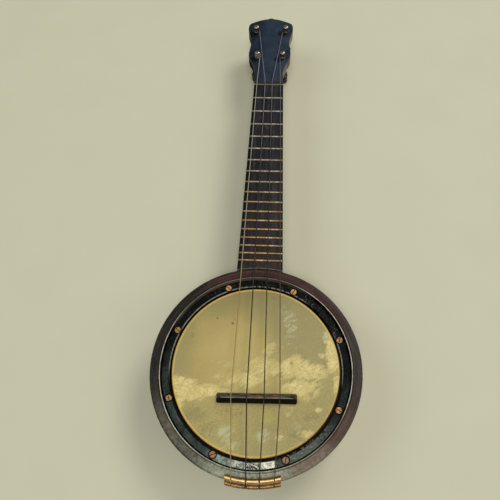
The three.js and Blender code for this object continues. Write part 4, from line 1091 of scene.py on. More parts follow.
def make_tail_brass():
    """The tailpiece's brass: bright on the upper roll with a painted highlight along its crest, darker on
    the lower with painted glints, and painted shade where they meet and inside the upper roll.
    """
    s = Surface("tail_brass")
    blotch = s.fade(s.noise(2.4, 5, 0.62, stretch=(2.4, 1, 1), seed=1), 0.32, 0.68)
    pits = s.noise(0.7, 5, 0.68, seed=6)
    reach = s.radius()
    meeting = UPPER_ROLL_PLACE + UPPER_ROLL + 0.45
    s.color = s.mix(blotch, (166, 118, 56), (206, 160, 84))
    crest = s.math("ABSOLUTE", s.math("SUBTRACT", reach, UPPER_ROLL_PLACE + 0.2))
    # Painted highlight along the upper roll's crest.
    s.lay(s.both(s.fade(crest, 1.0, 0.3), s.fade(pits, 0.62, 0.42, 0.2, 0.7)), (240, 216, 150))
    lower = s.mix(blotch, (88, 62, 26), (150, 108, 50))
    # Pale specks on the lower roll: painted glints.
    lower = s.mix(s.fade(pits, 0.55, 0.66, 0, 0.7), lower, (226, 198, 144))
    s.lay(s.fade(reach, meeting - 0.2, meeting + 0.2), lower)
    above = s.fade(s.z, LOWER_ROLL_HEIGHT - 1.2, LOWER_ROLL_HEIGHT - 0.4)
    # Painted shade in the groove where the rolls meet.
    seam_shade = s.fade(s.math("ABSOLUTE", s.math("SUBTRACT", reach, meeting)), 0.75, 0.3)
    s.lay(s.both(seam_shade, s.scaled(above, 0.92)), (40, 24, 10))
    shaded = s.fade(reach, UPPER_ROLL_PLACE - 0.5, UPPER_ROLL_PLACE - 1.1)
    s.lay(shaded, (72, 54, 32), 0.85)
    s.lay(s.fade(pits, 0.5, 0.4, 0, 0.35), (104, 62, 28))
    relief = s.bump(s.total(s.scaled(blotch, 0.5), s.scaled(pits, 0.5)), 0.05)
    return s.dress(s.spread(pits, 0.3, 0.2), relief, metallic=0.45)


def make_fret_wire():
    """Fret wire: whitish by the nut, brassy by the pot, with worn pale places."""
    s = Surface("fret_wire")
    along = s.fade(s.y, 250, 120)
    mottled = s.noise(2.2, 4, 0.65, stretch=(2, 1, 1), seed=2)
    cool = s.mix(mottled, (86, 82, 72), (166, 160, 142))
    warm = s.mix(mottled, (104, 72, 38), (190, 146, 84))
    s.color = s.mix(along, cool, warm)
    worn = s.fade(s.noise(4.5, 4, 0.65, seed=6), 0.5, 0.62)
    s.lay(worn, (206, 194, 164), 0.5)
    sides = s.fade(s.math("ABSOLUTE", s.x), 12.5, 16.5)
    s.lay(sides, (92, 66, 38), 0.35)
    relief = s.bump(mottled, 0.03)
    return s.dress(s.spread(mottled, 0.25, 0.25), relief, metallic=0.5)


def make_nickel():
    """Nickel plate, yellowed and pitted with age."""
    s = Surface("peg_nickel")
    blotch = s.noise(1.6, 5, 0.65, seed=3, distortion=0.4)
    s.color = s.mix(s.fade(blotch, 0.3, 0.72), (104, 98, 82), (176, 170, 152))
    pits = s.fade(s.noise(0.7, 4, 0.6, seed=8), 0.54, 0.68)
    s.lay(pits, (52, 46, 36), 0.6)
    flange = s.fade(s.z, FACE_TOP + BUSHING_HEIGHT + 0.3, FACE_TOP + BUSHING_HEIGHT)
    s.lay(flange, (66, 54, 50), 0.7)
    relief = s.bump(s.math("SUBTRACT", s.scaled(blotch, 0.5), pits), 0.03)
    return s.dress(s.spread(blotch, 0.22, 0.18), relief, metallic=0.95)


def make_board_wood():
    """Black-stained board, worn to brown by the pot and between the frets where fingers press."""
    s = Surface("board_wood")
    grain = s.noise(0.7, 6, 0.65, stretch=(1, 16, 1), seed=1, distortion=0.4)
    broad = s.noise(3.0, 3, 0.5, stretch=(1, 40, 1), seed=12)
    s.color = s.mix(grain, (5, 5, 6), (28, 27, 29))
    s.lay(s.fade(broad, 0.42, 0.6, 0, 0.5), (44, 42, 48))
    fingered = s.fade(s.noise(11, 4, 0.6, stretch=(1, 1.6, 1), seed=4), 0.3, 0.62)
    worn = s.both(s.fade(s.y, 210, 130), fingered)
    s.lay(worn, s.mix(grain, (24, 21, 17), (52, 45, 36)), 0.8)
    half_width = s.spread(s.y, (NUT_WIDTH - BOARD_END_WIDTH) / (NUT_DISTANCE - POT_RADIUS) / 2, 0)
    half_width = s.total(half_width, board_half_width(0))
    margin = s.math("SUBTRACT", half_width, s.math("ABSOLUTE", s.x))
    rubbed = s.both(
        s.fade(s.noise(3.4, 4, 0.6, stretch=(1, 3, 1), seed=7), 0.52, 0.7), s.fade(margin, 3, 6),
    )
    s.lay(rubbed, (86, 80, 72), 0.25)
    dust = s.fade(s.noise(0.8, 3, 0.6, seed=9), 0.62, 0.74)
    s.lay(dust, (110, 104, 92), 0.22)
    s.lay(s.fade(margin, 3.4, 2.0, 0, 0.92), (4, 4, 5))
    joint_line = s.fade(s.radius(), HEEL_FACE + 1.0, HEEL_FACE + 0.5)
    joint = s.both(joint_line, s.fade(s.noise(5, 3, 0.6, stretch=(1.5, 1, 1), seed=14), 0.3, 0.5))
    s.lay(joint, (120, 104, 90), 0.7)
    ledge = s.fade(s.y, NUT_DISTANCE - 1.1, NUT_DISTANCE - 0.8, 0, 0.8)
    s.lay(ledge, s.mix(grain, (118, 114, 98), (168, 162, 142)))
    relief = s.bump(grain, 0.08)
    rough = s.spread(grain, 0.2, 0.3)
    return s.dress(rough, relief, specular=0.2)


def make_face_black():
    """Glossy black finish of the headstock's face, tinted blue by a painted reflection of the sky, with
    hairline marks, painted shadows of the posts and painted shade behind the nut.
    """
    s = Surface("face_black")
    cloud = s.noise(16, 4, 0.6, seed=2, distortion=0.5)
    grain = s.noise(0.8, 4, 0.6, stretch=(1, 18, 1), seed=3)
    # The blue in the black, and its lighter middle, are a painted reflection of the sky.
    s.color = s.mix(s.fade(cloud, 0.34, 0.66), (22, 28, 44), (40, 51, 64))
    s.lay(grain, (20, 18, 32), 0.3)
    middle = s.fade(s.math("ABSOLUTE", s.x), 20, 10)
    s.lay(middle, (40, 54, 68), 0.4)
    hair = s.fade(s.noise(0.5, 2, 0.5, stretch=(1, 30, 1), seed=5), 0.62, 0.7)
    s.lay(hair, (84, 92, 104), 0.25)
    s.lay(s.fade(s.x, -6, -13, 0, 0.4), (14, 18, 32))
    # Painted shadows cast by the posts, on the nut side and to the left of each.
    dark_patches = [((x - 4.2, y - 4.6), (5.4, 4.6), 0.9) for x, y, _ in PEGS]
    s.patches((4, 5, 8), dark_patches, 0.15, 0.4, cloud)
    # Painted shade along the face's start, behind the nut.
    s.lay(s.fade(s.y, HEADSTOCK_START + 1.7, HEADSTOCK_START + 1.0, 0, 0.95), (4, 4, 5))
    rim = s.fade(s.z, FACE_TOP - 0.05, FACE_TOP - 0.3)
    s.lay(rim, (8, 9, 13), 0.8)
    side = s.fade(s.z, FACE_TOP - 0.4, FACE_TOP - 0.8)
    s.lay(side, s.mix(grain, (14, 12, 12), (40, 32, 26)))
    relief = s.bump(s.total(s.scaled(cloud, 1.0), s.scaled(grain, 0.25)), 0.1)
    rough = s.spread(cloud, 0.16, 0.22)
    return s.dress(rough, relief, specular=0.25)


def make_bridge_wood():
    """Ebonised bridge: its neck-side slope lighter grey-brown, partly dust and partly painted light, and a
    pale line along its ridge, partly wear and partly a painted highlight.
    """
    s = Surface("bridge_wood")
    grain = s.noise(0.6, 5, 0.7, stretch=(14, 1, 1), seed=1, distortion=0.4)
    s.color = s.mix(s.fade(grain, 0.35, 0.65), (4, 4, 3), (20, 16, 13))
    slant = s.spread(s.x, -math.tan(math.radians(BRIDGE_TURN)), -BRIDGE_PLACE)
    off = s.total(s.y, slant)
    # The neck-side slope is painted lighter: partly dust, partly painted light on the lit side.
    neck_side = s.fade(off, -0.6, -0.1)
    worn = s.fade(s.noise(2.4, 6, 0.7, stretch=(5, 1, 1), seed=5), 0.36, 0.56)
    dust_and_light = s.both(neck_side, s.both(worn, s.fade(grain, 0.34, 0.56)))
    brown = s.spot((8, BRIDGE_PLACE), (16, 9), 0.3, 0.5, grain)
    tint = s.mix(brown, (98, 98, 84), (136, 108, 92))
    s.lay(dust_and_light, tint, 0.75)
    # A pale line along the ridge: partly wear, partly a painted highlight.
    patchy = s.fade(s.noise(3.5, 4, 0.7, stretch=(3, 1, 1), seed=9), 0.34, 0.5, 0.3, 1)
    ridge = s.both(s.fade(s.math("ABSOLUTE", s.total(off, 0.4)), 0.4, 0.1), patchy)
    ridge = s.both(ridge, s.fade(s.z, BRIDGE_TOP - 1.2, BRIDGE_TOP - 0.5))
    s.lay(ridge, (150, 142, 124), 0.6)
    relief = s.bump(grain, 0.1)
    return s.dress(s.spread(grain, 0.2, 0.4), relief, specular=0.15)


def make_nut_bone():
    """The nut: aged bone, black over its top."""
    s = Surface("nut_bone")
    mottled = s.noise(1.5, 5, 0.62, stretch=(2, 1, 1), seed=1)
    s.color = s.mix(mottled, (122, 116, 98), (186, 180, 158))
    dark = s.fade(s.z, RIM_TOP + NUT_RISE - 1.8, RIM_TOP + NUT_RISE - 1.4)
    s.lay(dark, s.mix(mottled, (8, 8, 8), (26, 24, 22)), 0.95)
    rough = s.spread(mottled, 0.2, 0.4)
    return s.dress(rough, s.bump(mottled, 0.04), specular=0.2)


def make_button_black():
    """Polished black peg buttons with rubbed edges."""
    s = Surface("button_black")
    cloud = s.noise(5, 4, 0.6, seed=1)
    grain = s.noise(0.6, 4, 0.6, stretch=(1, 1, 9), seed=2)
    s.color = s.mix(cloud, (8, 7, 7), (24, 21, 20))
    s.lay(grain, (36, 30, 26), 0.3)
    scuff = s.fade(s.noise(1.8, 4, 0.65, seed=6), 0.62, 0.74)
    s.lay(scuff, (84, 76, 70), 0.3)
    relief = s.bump(s.total(grain, cloud), 0.06)
    rough = s.spread(scuff, 0.25, 0.3)
    return s.dress(rough, relief, specular=0.25)


def make_string(name, dark, light, far, change, clear, wound):
    """Gut string: mottled, paler towards the nut, clear where it isn't dyed and black where it is wound."""
    s = Surface(name)
    mottled = s.noise(1.1, 4, 0.6, stretch=(1, 8, 1), seed=2)
    s.color = s.mix(mottled, dark, light)
    worn = s.fade(s.noise(4, 3, 0.6, stretch=(1, 4, 1), seed=5), 0.55, 0.72)
    s.lay(worn, (150, 138, 118), 0.2)
    sheen = s.both(s.fade(s.y, *change), s.fade(mottled, 0.3, 0.6, 0.55, 0.9))
    s.lay(sheen, far)
    turns = [((x, y), (POST_RADIUS + 1.0,) * 2, 0.9) for x, y, _ in PEGS]
    s.patches(wound, turns, soft=0.15)
    relief = s.bump(mottled, 0.03)
    rough = s.spread(mottled, 0.15, 0.34)
    return s.dress(rough, relief, transmission=clear, specular=0.35)


rim_wood = make_rim_wood()
back_wood = make_back_wood()
neck_wood = make_neck_wood()
inner_wood = make_inner_wood()
vellum = make_vellum()
ring_metal = make_ring_metal()
screw_copper = make_screw_copper()
tail_brass = make_tail_brass()
hoop_brass = make_brass()
fret_wire = make_fret_wire()
nickel = make_nickel()
board_wood = make_board_wood()
face_black = make_face_black()
bridge_wood = make_bridge_wood()
nut_bone = make_nut_bone()
button_black = make_button_black()
string_materials = [make_string(*look) for look in STRING_LOOKS]


# Shapes shared with the frame's solids

def around(middle, reach):
    return middle - reach, middle + reach


def numbered(name, number):
    return "%s_%d" % (name, number + 1)


def spindle(name, profile, material=None, segments=SMALL_SEGMENTS):
    """A profile that starts and ends on the axis, turned round Z."""
    return lathe(name, profile, material, segments, closed=False)


def cylinder(radius, bottom, top, segments=SMALL_SEGMENTS):
    return spindle("cutter", [(0, bottom), (radius, bottom), (radius, top), (0, top)], segments=segments)


def bar_along_neck(radius, height, start, end):
    return turned(cylinder(radius, start, end), -90, (0, 0, height), "X")


def dowel_hole(start, end):
    reach = DOWEL_SIDE / 2 + FIT_GAP
    return block(around(0, reach), (start, end), around(DOWEL_MIDDLE, reach))


def at(piece, x, y):
    return turned(piece, 0, (x, y, 0))


def dome(radius, foot, rise, degrees):
    """The profile of an oval dome at the degrees, from its foot up."""
    return [(radius * math.cos(a), foot + rise * math.sin(a)) for a in map(math.radians, degrees)]


def slotted(screw, radius, width, bottom, top, degrees, bevel):
    """The screw with a slot across its head, from bottom up, turned by the degrees."""
    slot = block(around(0, radius + CUT_OVERRUN), around(0, width / 2), (bottom, top + CUT_OVERRUN))
    return bevelled(combined(screw, [turned(slot, degrees)]), bevel)


def powered(value, power):
    """The value raised to the power, with its sign kept."""
    return math.copysign(abs(value) ** power, value)


def smoothstep(value, low, high):
    t = min(max((value - low) / (high - low), 0), 1)
    return t * t * (3 - 2 * t)


def catmull(points, steps):
    """A smooth line of about so many steps through the points, as the frame's outline has it."""
    made = []
    last = len(points) - 1
    for step in range(steps + 1):
        along = step / steps * last
        i = min(int(along), last - 1)
        t = along - i
        near = (points[max(i - 1, 0)], points[i], points[i + 1], points[min(i + 2, last)])
        made.append(tuple(
            0.5 * (2 * b + (c - a) * t + (2 * a - 5 * b + 4 * c - d) * t ** 2
                   + (3 * b - a - 3 * c + d) * t ** 3)
            for a, b, c, d in zip(*near)
        ))
    return made


def fret_distance(number):
    return NUT_DISTANCE - SCALE_LENGTH * (1 - 2 ** (-number / 12))


# Pot

def make_pot():
    bead = RECESS_RADIUS + BEAD_WIDTH
    groove = RIM_TOP - BEAD_DROP
    rebate = POT_BORE + BACK_REBATE
    corners = [
        (POT_RADIUS, 0, POT_EDGE_ROUND), (POT_RADIUS, RIM_TOP, POT_EDGE_ROUND), (bead, RIM_TOP, SLIGHT),
        (bead, groove, CRISP), (bead - BEAD_GROOVE, groove, CRISP), (bead - BEAD_CREST, RIM_TOP, FINE),
        (RECESS_RADIUS, RIM_TOP, RECESS_EDGE_ROUND), (RECESS_RADIUS, SCREW_LAND, SMALL),
        (HOOP_WELL, SCREW_LAND, FINE), (HOOP_WELL, LEDGE_TOP, SMALL), (LEDGE_BORE, LEDGE_TOP, SOFT),
        (LEDGE_BORE, LEDGE_BOTTOM, FULL), (POT_BORE, LEDGE_BOTTOM, FULL), (POT_BORE, BACK_THICKNESS, SMALL),
        (rebate, BACK_THICKNESS, CRISP), (rebate, 0, BACK_EDGE_ROUND),
    ]
    pot = lathe("pot_rim_turned", softened(corners), rim_wood)
    bottom = RING_TOP - SCREW_LENGTH - CUT_OVERRUN
    holes = [cylinder(SCREW_SHANK_RADIUS + FIT_GAP, bottom, RIM_TOP) for _ in range(SCREW_COUNT)]
    outside = -POT_RADIUS - CUT_OVERRUN
    inside = -TAIL_OUTER + TAIL_SCREW_GRIP + CUT_OVERRUN
    tail_hole = bar_along_neck(TAIL_SCREW_SHANK + FIT_GAP, TAIL_SCREW_PLACE, outside, inside)
    tools = [
        *[at(hole, *screw_place(number)) for number, hole in enumerate(holes)],
        dowel_hole(POT_BORE / 2, POT_RADIUS + CUT_OVERRUN),
        bar_along_neck(END_SHANK + FIT_GAP, DOWEL_MIDDLE, outside, -POT_BORE / 2),
        turned(tail_hole, TAIL_TURN),
    ]
    set_in(combined(pot, tools), "body", "rim_wood", "pot_rim")


def make_back():
    radius = POT_BORE + BACK_REBATE - FIT_GAP
    top = BACK_THICKNESS
    corners = [(0, 0, 0), (radius, 0, BACK_EDGE_ROUND), (radius, top, FINE), (0, top, 0)]
    back = spindle("back_plate_wood", softened(corners, closed=False), back_wood, LATHE_SEGMENTS)
    set_in(back, "body", "rim_wood", "back_plate")


def make_head():
    """The skin: flat, round over its bearing edge, down its skirt and out under the hoop."""
    inner = HEAD_RADIUS - HEAD_THICKNESS
    underside = HEAD_TOP - HEAD_THICKNESS
    tuck_top = TUCK_BOTTOM + HEAD_THICKNESS
    outer_line = softened([
        (TUCK_RADIUS, TUCK_BOTTOM, 0), (TUCK_RADIUS, tuck_top, FINE), (HEAD_RADIUS, tuck_top, SMALL),
        (HEAD_RADIUS, HEAD_TOP, HEAD_SHOULDER), (HEAD_RADIUS - 2 * HEAD_SHOULDER, HEAD_TOP, 0),
    ], closed=False, steps=BEND_STEPS)
    flat = [(HEAD_RADIUS * share, HEAD_TOP) for share in HEAD_RING_SHARES]
    inner_line = softened([
        (0, underside, 0), (inner, underside, HEAD_SHOULDER - HEAD_THICKNESS), (inner, TUCK_BOTTOM, 0),
    ], closed=False, steps=BEND_STEPS)
    head = lathe("skin_head", [*outer_line, *flat, (0, HEAD_TOP), *inner_line], vellum)
    set_in(head, "body", "vellum", "head", sharp=50)


def make_ring():
    lip = RING_BORE + RING_LIP_WIDTH
    lip_top = RING_TOP + RING_LIP_HEIGHT
    corners = [
        (RING_BORE, HOOP_TOP, KEEN), (lip, HOOP_TOP, FINE), (lip, RING_BOTTOM, FINE),
        (RING_RADIUS, RING_BOTTOM, FINE), (RING_RADIUS, RING_TOP, RING_EDGE_ROUND),
        (lip + KEEN, RING_TOP, KEEN), (lip, lip_top, SLIGHT), (RING_BORE, lip_top, RING_EDGE_ROUND),
    ]
    ring = lathe("ring_plate", softened(corners), ring_metal)
    tools = [at(countersink(), *screw_place(number)) for number in range(SCREW_COUNT)]
    set_in(combined(ring, tools), "body", "ring_metal", "tension_ring", sharp=28)


def countersink():
    radius = SCREW_HEAD_RADIUS + FIT_GAP / 2
    shank = SCREW_SHANK_RADIUS + FIT_GAP
    bottom = HOOP_TOP - CUT_OVERRUN
    return spindle("cutter", [
        (0, bottom), (shank, bottom), (shank, SCREW_RIM_BOTTOM - SCREW_CONE_HEIGHT - FIT_GAP),
        (radius, SCREW_RIM_BOTTOM - FIT_GAP), (radius, RIM_TOP), (0, RIM_TOP),
    ])


def make_tension_screw(number):
    bottom = RING_TOP - SCREW_LENGTH
    cone_bottom = SCREW_RIM_BOTTOM - SCREW_CONE_HEIGHT
    corners = [
        (0, bottom, 0), (SCREW_SHANK_RADIUS, bottom, EASY), (SCREW_SHANK_RADIUS, cone_bottom, FINE),
        (SCREW_HEAD_RADIUS, SCREW_RIM_BOTTOM, CRISP), (SCREW_HEAD_RADIUS, SCREW_TOP - HAIR, SOFT),
        (SCREW_HEAD_RADIUS / 2, SCREW_TOP, SCREW_CROWN_ROUND), (0, SCREW_TOP, 0),
    ]
    screw = spindle(numbered("ring_screw", number), softened(corners, closed=False), screw_copper)
    heights = (SCREW_TOP - SCREW_SLOT_DEPTH, SCREW_TOP)
    degrees = SCREW_SLOT_TURNS[number]
    screw = slotted(screw, SCREW_HEAD_RADIUS, SCREW_SLOT_WIDTH, *heights, degrees, SCREW_SLOT_BEVEL)
    screw = at(screw, *screw_place(number))
    set_in(screw, numbered("head_screw", number), "screw_copper", numbered("tension_screw", number))


# Neck, board and headstock

def headstock_outline():
    guide = [(w * HEADSTOCK_HALF_WIDTH, HEADSTOCK_START + d * HEADSTOCK_LENGTH) for w, d in OUTLINE_SHARES]
    right = [(x, y) for x, y in catmull(guide, OUTLINE_STEPS)[:-1] if x > CROWN_HALF_WIDTH]
    crown = HEADSTOCK_START + HEADSTOCK_LENGTH
    shoulder = right[-1][1]
    for share in CROWN_SHARES:
        rise = (crown - shoulder) * math.sin(share * math.pi / 2)
        right.append((CROWN_HALF_WIDTH * (1 - share), shoulder + rise))
    left = [(-x, y) for x, y in reversed(right)]
    return [(x + HEADSTOCK_SHIFT, y) for x, y in (*right, (0, crown), *left)]


def neck_depth(distance):
    share = min(max((distance - POT_RADIUS) / (HEADSTOCK_START - POT_RADIUS), 0), 1)
    shaft = NECK_DEPTH_AT_BODY + (NECK_DEPTH_AT_NUT - NECK_DEPTH_AT_BODY) * share
    heel = 1 - smoothstep(distance, POT_RADIUS, POT_RADIUS + HEEL_LENGTH)
    head = smoothstep(distance, HEADSTOCK_START, HEADSTOCK_START + NECK_TAIL)
    heel_depth = BOARD_BOTTOM - HEEL_FLOOR_GAP - NECK_DEPTH_AT_BODY
    return shaft + heel_depth * heel - (NECK_DEPTH_AT_NUT - HEADSTOCK_CORE / 2) * head


def neck_section(distance):
    half = board_half_width(distance)
    top = BOARD_BOTTOM - NECK_TOP_SINK * smoothstep(distance, NUT_DISTANCE, HEADSTOCK_START)
    depth = neck_depth(distance) + top - BOARD_BOTTOM
    ring = []
    for i in range(NECK_SIDES + 1):
        angle = math.pi + math.pi * i / NECK_SIDES
        across = powered(math.cos(angle), 2 / NECK_ROUND_POWER)
        down = powered(math.sin(angle), 2 / NECK_ROUND_POWER)
        ring.append((half * across, distance, top + depth * down))
    return ring


def peg_hole():
    bottom = HEADSTOCK_BACK - CUT_OVERRUN
    step = SLEEVE_BOTTOM - FIT_GAP
    wide = SLEEVE_RADIUS + FIT_GAP
    return spindle("cutter", [
        (0, bottom), (SHAFT_BORE, bottom), (SHAFT_BORE, step), (wide, step), (wide, RIM_TOP), (0, RIM_TOP),
    ])


def make_neck():
    start = POT_RADIUS - BOARD_END_WIDTH / 4
    length = HEADSTOCK_START + NECK_TAIL - start
    shares = [(i / (NECK_STATIONS - 1)) ** NECK_STATION_POWER for i in range(NECK_STATIONS)]
    rings = [neck_section(start + length * share) for share in reversed(shares)]
    neck = loft("neck_shaft", rings, neck_wood)
    outline = headstock_outline()
    core = slab("core", outline, HEADSTOCK_BACK, BOARD_BOTTOM, CORE_EDGE_ROUND, SEAM_ROUND, neck_wood)
    combined(neck, [core], "UNION")
    tools = [
        cylinder(HEEL_FACE, -CUT_OVERRUN, RIM_TOP, LATHE_SEGMENTS),
        dowel_hole(POT_BORE, POT_RADIUS + DOWEL_TENON + FIT_GAP),
        *[at(peg_hole(), x, y) for x, y, _ in PEGS],
    ]
    set_in(combined(neck, tools), "body", "neck_wood", "neck", sharp=38)


def make_faceplate():
    edges = (SEAM_ROUND, FACE_EDGE_ROUND)
    face = slab("faceplate_black", headstock_outline(), BOARD_BOTTOM, FACE_TOP, *edges, face_black)
    bottom = BOARD_BOTTOM - CUT_OVERRUN
    tools = [at(cylinder(SLEEVE_RADIUS + FIT_GAP, bottom, RIM_TOP), x, y) for x, y, _ in PEGS]
    set_in(combined(face, tools), "body", "face_black", "headstock_faceplate")


def make_fretboard():
    inner = POT_RADIUS - BOARD_END_WIDTH / 2
    half = board_half_width(inner)
    outline = [(half, inner), (NUT_WIDTH / 2, NUT_DISTANCE), (-NUT_WIDTH / 2, NUT_DISTANCE), (-half, inner)]
    points = []
    for (x, y), (next_x, next_y) in zip(outline, [*outline[1:], outline[0]]):
        for step in range(BOARD_STEPS):
            share = step / BOARD_STEPS
            points.append((x + (next_x - x) * share, y + (next_y - y) * share))
    board = slab("fretboard_black", points, BOARD_BOTTOM, RIM_TOP, SEAM_ROUND, SEAM_ROUND, board_wood)
    tools = [cylinder(HEEL_FACE, BOARD_BOTTOM - CUT_OVERRUN, RIM_TOP + CUT_OVERRUN, LATHE_SEGMENTS)]
    heights = (RIM_TOP - TANG_DEPTH - TANG_GAP, RIM_TOP + CUT_OVERRUN)
    for number in range(1, FRET_COUNT + 1):
        middle = fret_distance(number)
        reach = board_half_width(middle) + CUT_OVERRUN
        tools.append(block(around(0, reach), around(middle, TANG_WIDTH / 2 + TANG_GAP), heights))
    set_in(combined(board, tools), "body", "ebonised_wood", "fretboard")


def make_fret(number):
    """One fret: an oval crown with its ends bevelled and rounded, and a tang below."""
    middle = fret_distance(number)
    half = board_half_width(middle) - FRET_INSET
    crown = dome(FRET_WIDTH / 2, 0, FRET_HEIGHT, [180 * i / FRET_SIDES for i in range(FRET_SIDES + 1)])
    edge = TANG_WIDTH / 2
    tang = [(-edge, 0), (-edge, -TANG_DEPTH), (edge, -TANG_DEPTH), (edge, 0)]
    right = [(half - depth, share) for depth, share in FRET_ENDS]
    flat = [(right[-1][0] * share, 1.0) for share in (0.5, 0.0, -0.5)]
    rings = []
    for x, height in [*right, *flat, *[(-x, height) for x, height in reversed(right)]]:
        width = 1 - FRET_NARROWING * (1 - height)
        ring = [(x, middle + y * width, RIM_TOP + z * height) for y, z in crown]
        rings.append([*ring, *[(x, middle + y, RIM_TOP + z) for y, z in tang]])
    fret = loft("fret_wire_%d" % number, rings, fret_wire)
    set_in(fret, "body", "fret_wire", "fret_%d" % number)


def string_height_at_nut(i):
    return RIM_TOP + FRET_HEIGHT + STRING_OVER_FRET + STRING_RADII[i]


def make_nut():
    top = RIM_TOP + NUT_RISE
    end = NUT_DISTANCE + NUT_LENGTH
    middle = NUT_DISTANCE + NUT_LENGTH / 2
    profile = softened([
        (NUT_DISTANCE, BOARD_BOTTOM, 0), (end, BOARD_BOTTOM, 0), (end, top - EASY, FULL),
        (NUT_DISTANCE + NUT_LENGTH * NUT_CREST_SHARE, top, NUT_CREST_ROUND),
        (NUT_DISTANCE, top, NUT_FRONT_ROUND),
    ])
    shoulder = top - NUT_SHOULDER
    left = [(inward - NUT_WIDTH / 2, depth) for inward, depth in NUT_ENDS]
    rings = []
    for x, depth in [*left, *[(-x, depth) for x, depth in reversed(left)]]:
        narrowed = 1 - depth / NUT_LENGTH * 2
        rings.append([(x, middle + (y - middle) * narrowed, z - depth * (z > shoulder)) for y, z in profile])
    nut = loft("nut_bar", rings, nut_bone)
    tools = []
    for i, x in enumerate(NUT_PLACES):
        reach = STRING_RADII[i] + NUT_NOTCH_GAP
        height = string_height_at_nut(i)
        ends = (NUT_DISTANCE - CUT_OVERRUN, end + CUT_OVERRUN)
        tools.append(at(bar_along_neck(reach, height, *ends), x, 0))
        tools.append(block(around(x, reach), ends, (height, top + CUT_OVERRUN)))
    set_in(combined(nut, tools), "body", "nut_bone", "nut")


# Pegs

def make_bushing(number):
    x, y, _ = PEGS[number]
    top = FACE_TOP + BUSHING_HEIGHT
    corners = [
        (SHAFT_BORE, SLEEVE_BOTTOM, CRISP), (SLEEVE_RADIUS, SLEEVE_BOTTOM, FINE),
        (SLEEVE_RADIUS, FACE_TOP, HAIR), (BUSHING_FLANGE, FACE_TOP, BUSHING_FOOT_ROUND),
        (BUSHING_FLANGE, FACE_TOP + BUSHING_HEIGHT / 2, SMALL),
        (BUSHING_FLANGE - BUSHING_HEIGHT / 2, top, SMALL), (SHAFT_BORE, top, BUSHING_MOUTH_ROUND),
    ]
    bushing = lathe(numbered("bushing", number), softened(corners), nickel, SMALL_SEGMENTS)
    set_in(at(bushing, x, y), "body", "peg_nickel", numbered("peg_bushing", number))


def make_peg(number):
    x, y, _ = PEGS[number]
    body = numbered("peg", number)
    tenon_bottom = BUTTON_BOTTOM + BUTTON_HEIGHT / 2 - FIT_GAP
    head_bottom = POST_TOP - POST_DOME - POST_HEAD_HEIGHT
    dome_rise = POST_DOME + POST_DOME_FOOT
    shoulder = (POST_RADIUS - POST_WAIST) / 2
    waist_bottom = WINDING_BOTTOM - FIT_GAP
    hole = PEG_SCREW_SHANK + FIT_GAP
    hole_top = tenon_bottom + PEG_SCREW_BITE
    lower = softened([
        (0, hole_top, 0), (hole, hole_top, 0), (hole, tenon_bottom, 0), (TENON_RADIUS, tenon_bottom, FINE),
        (TENON_RADIUS, STEM_BOTTOM, HAIR), (STEM_RADIUS, STEM_BOTTOM, EASY),
        (STEM_RADIUS, STEM_BOTTOM + STEM_FOOT, FULL),
        (STEM_WAIST, STEM_BOTTOM + STEM_LENGTH / 3, STEM_WAIST_ROUND),
        (STEM_RADIUS - SMALL, STEM_TOP - STEM_NECK, STEM_NECK_ROUND),
        (STEM_RADIUS, STEM_TOP - STEM_COLLAR, SMALL), (STEM_RADIUS, STEM_TOP, SMALL),
        (POST_RADIUS, STEM_TOP, HAIR), (POST_RADIUS, waist_bottom - shoulder, CRISP),
        (POST_WAIST, waist_bottom, SMALL), (POST_WAIST, head_bottom - shoulder, SMALL),
        (POST_RADIUS, head_bottom, SLIGHT), (POST_RADIUS, POST_TOP - dome_rise, FINE),
    ], closed=False)
    crown = dome(POST_RADIUS, POST_TOP - dome_rise, dome_rise, POST_DOME_DEGREES)
    shaft = spindle(numbered("peg_post", number), [*lower, *crown, (0, POST_TOP)], nickel)
    bore = cylinder(STRING_HOLE, -POST_RADIUS - CUT_OVERRUN, POST_RADIUS + CUT_OVERRUN, STRING_HOLE_SEGMENTS)
    bore = turned(bore, 90, (0, 0, (WINDING_BOTTOM + head_bottom) / 2), "Y")
    set_in(at(combined(shaft, [bore]), x, y), body, "peg_nickel", numbered("peg_shaft", number))
    set_in(at(peg_button(number), x, y), body, "button_black", numbered("peg_button", number))
    name = numbered("button_screw", number)
    length = BUTTON_HEIGHT / 2 + PEG_SCREW_BITE / 2
    slot_turn = PEG_SLOT_START + PEG_SLOT_STEP * number
    screw = slotted_screw(name, PEG_SCREW_HEAD, PEG_SCREW_HEIGHT, PEG_SCREW_SHANK, length, slot_turn)
    screw = turned(screw, 180, (0, 0, BUTTON_BOTTOM + PEG_SCREW_SINK + PEG_SCREW_HEIGHT), "X")
    set_in(at(screw, x, y), body, "peg_nickel", numbered("peg_screw", number))


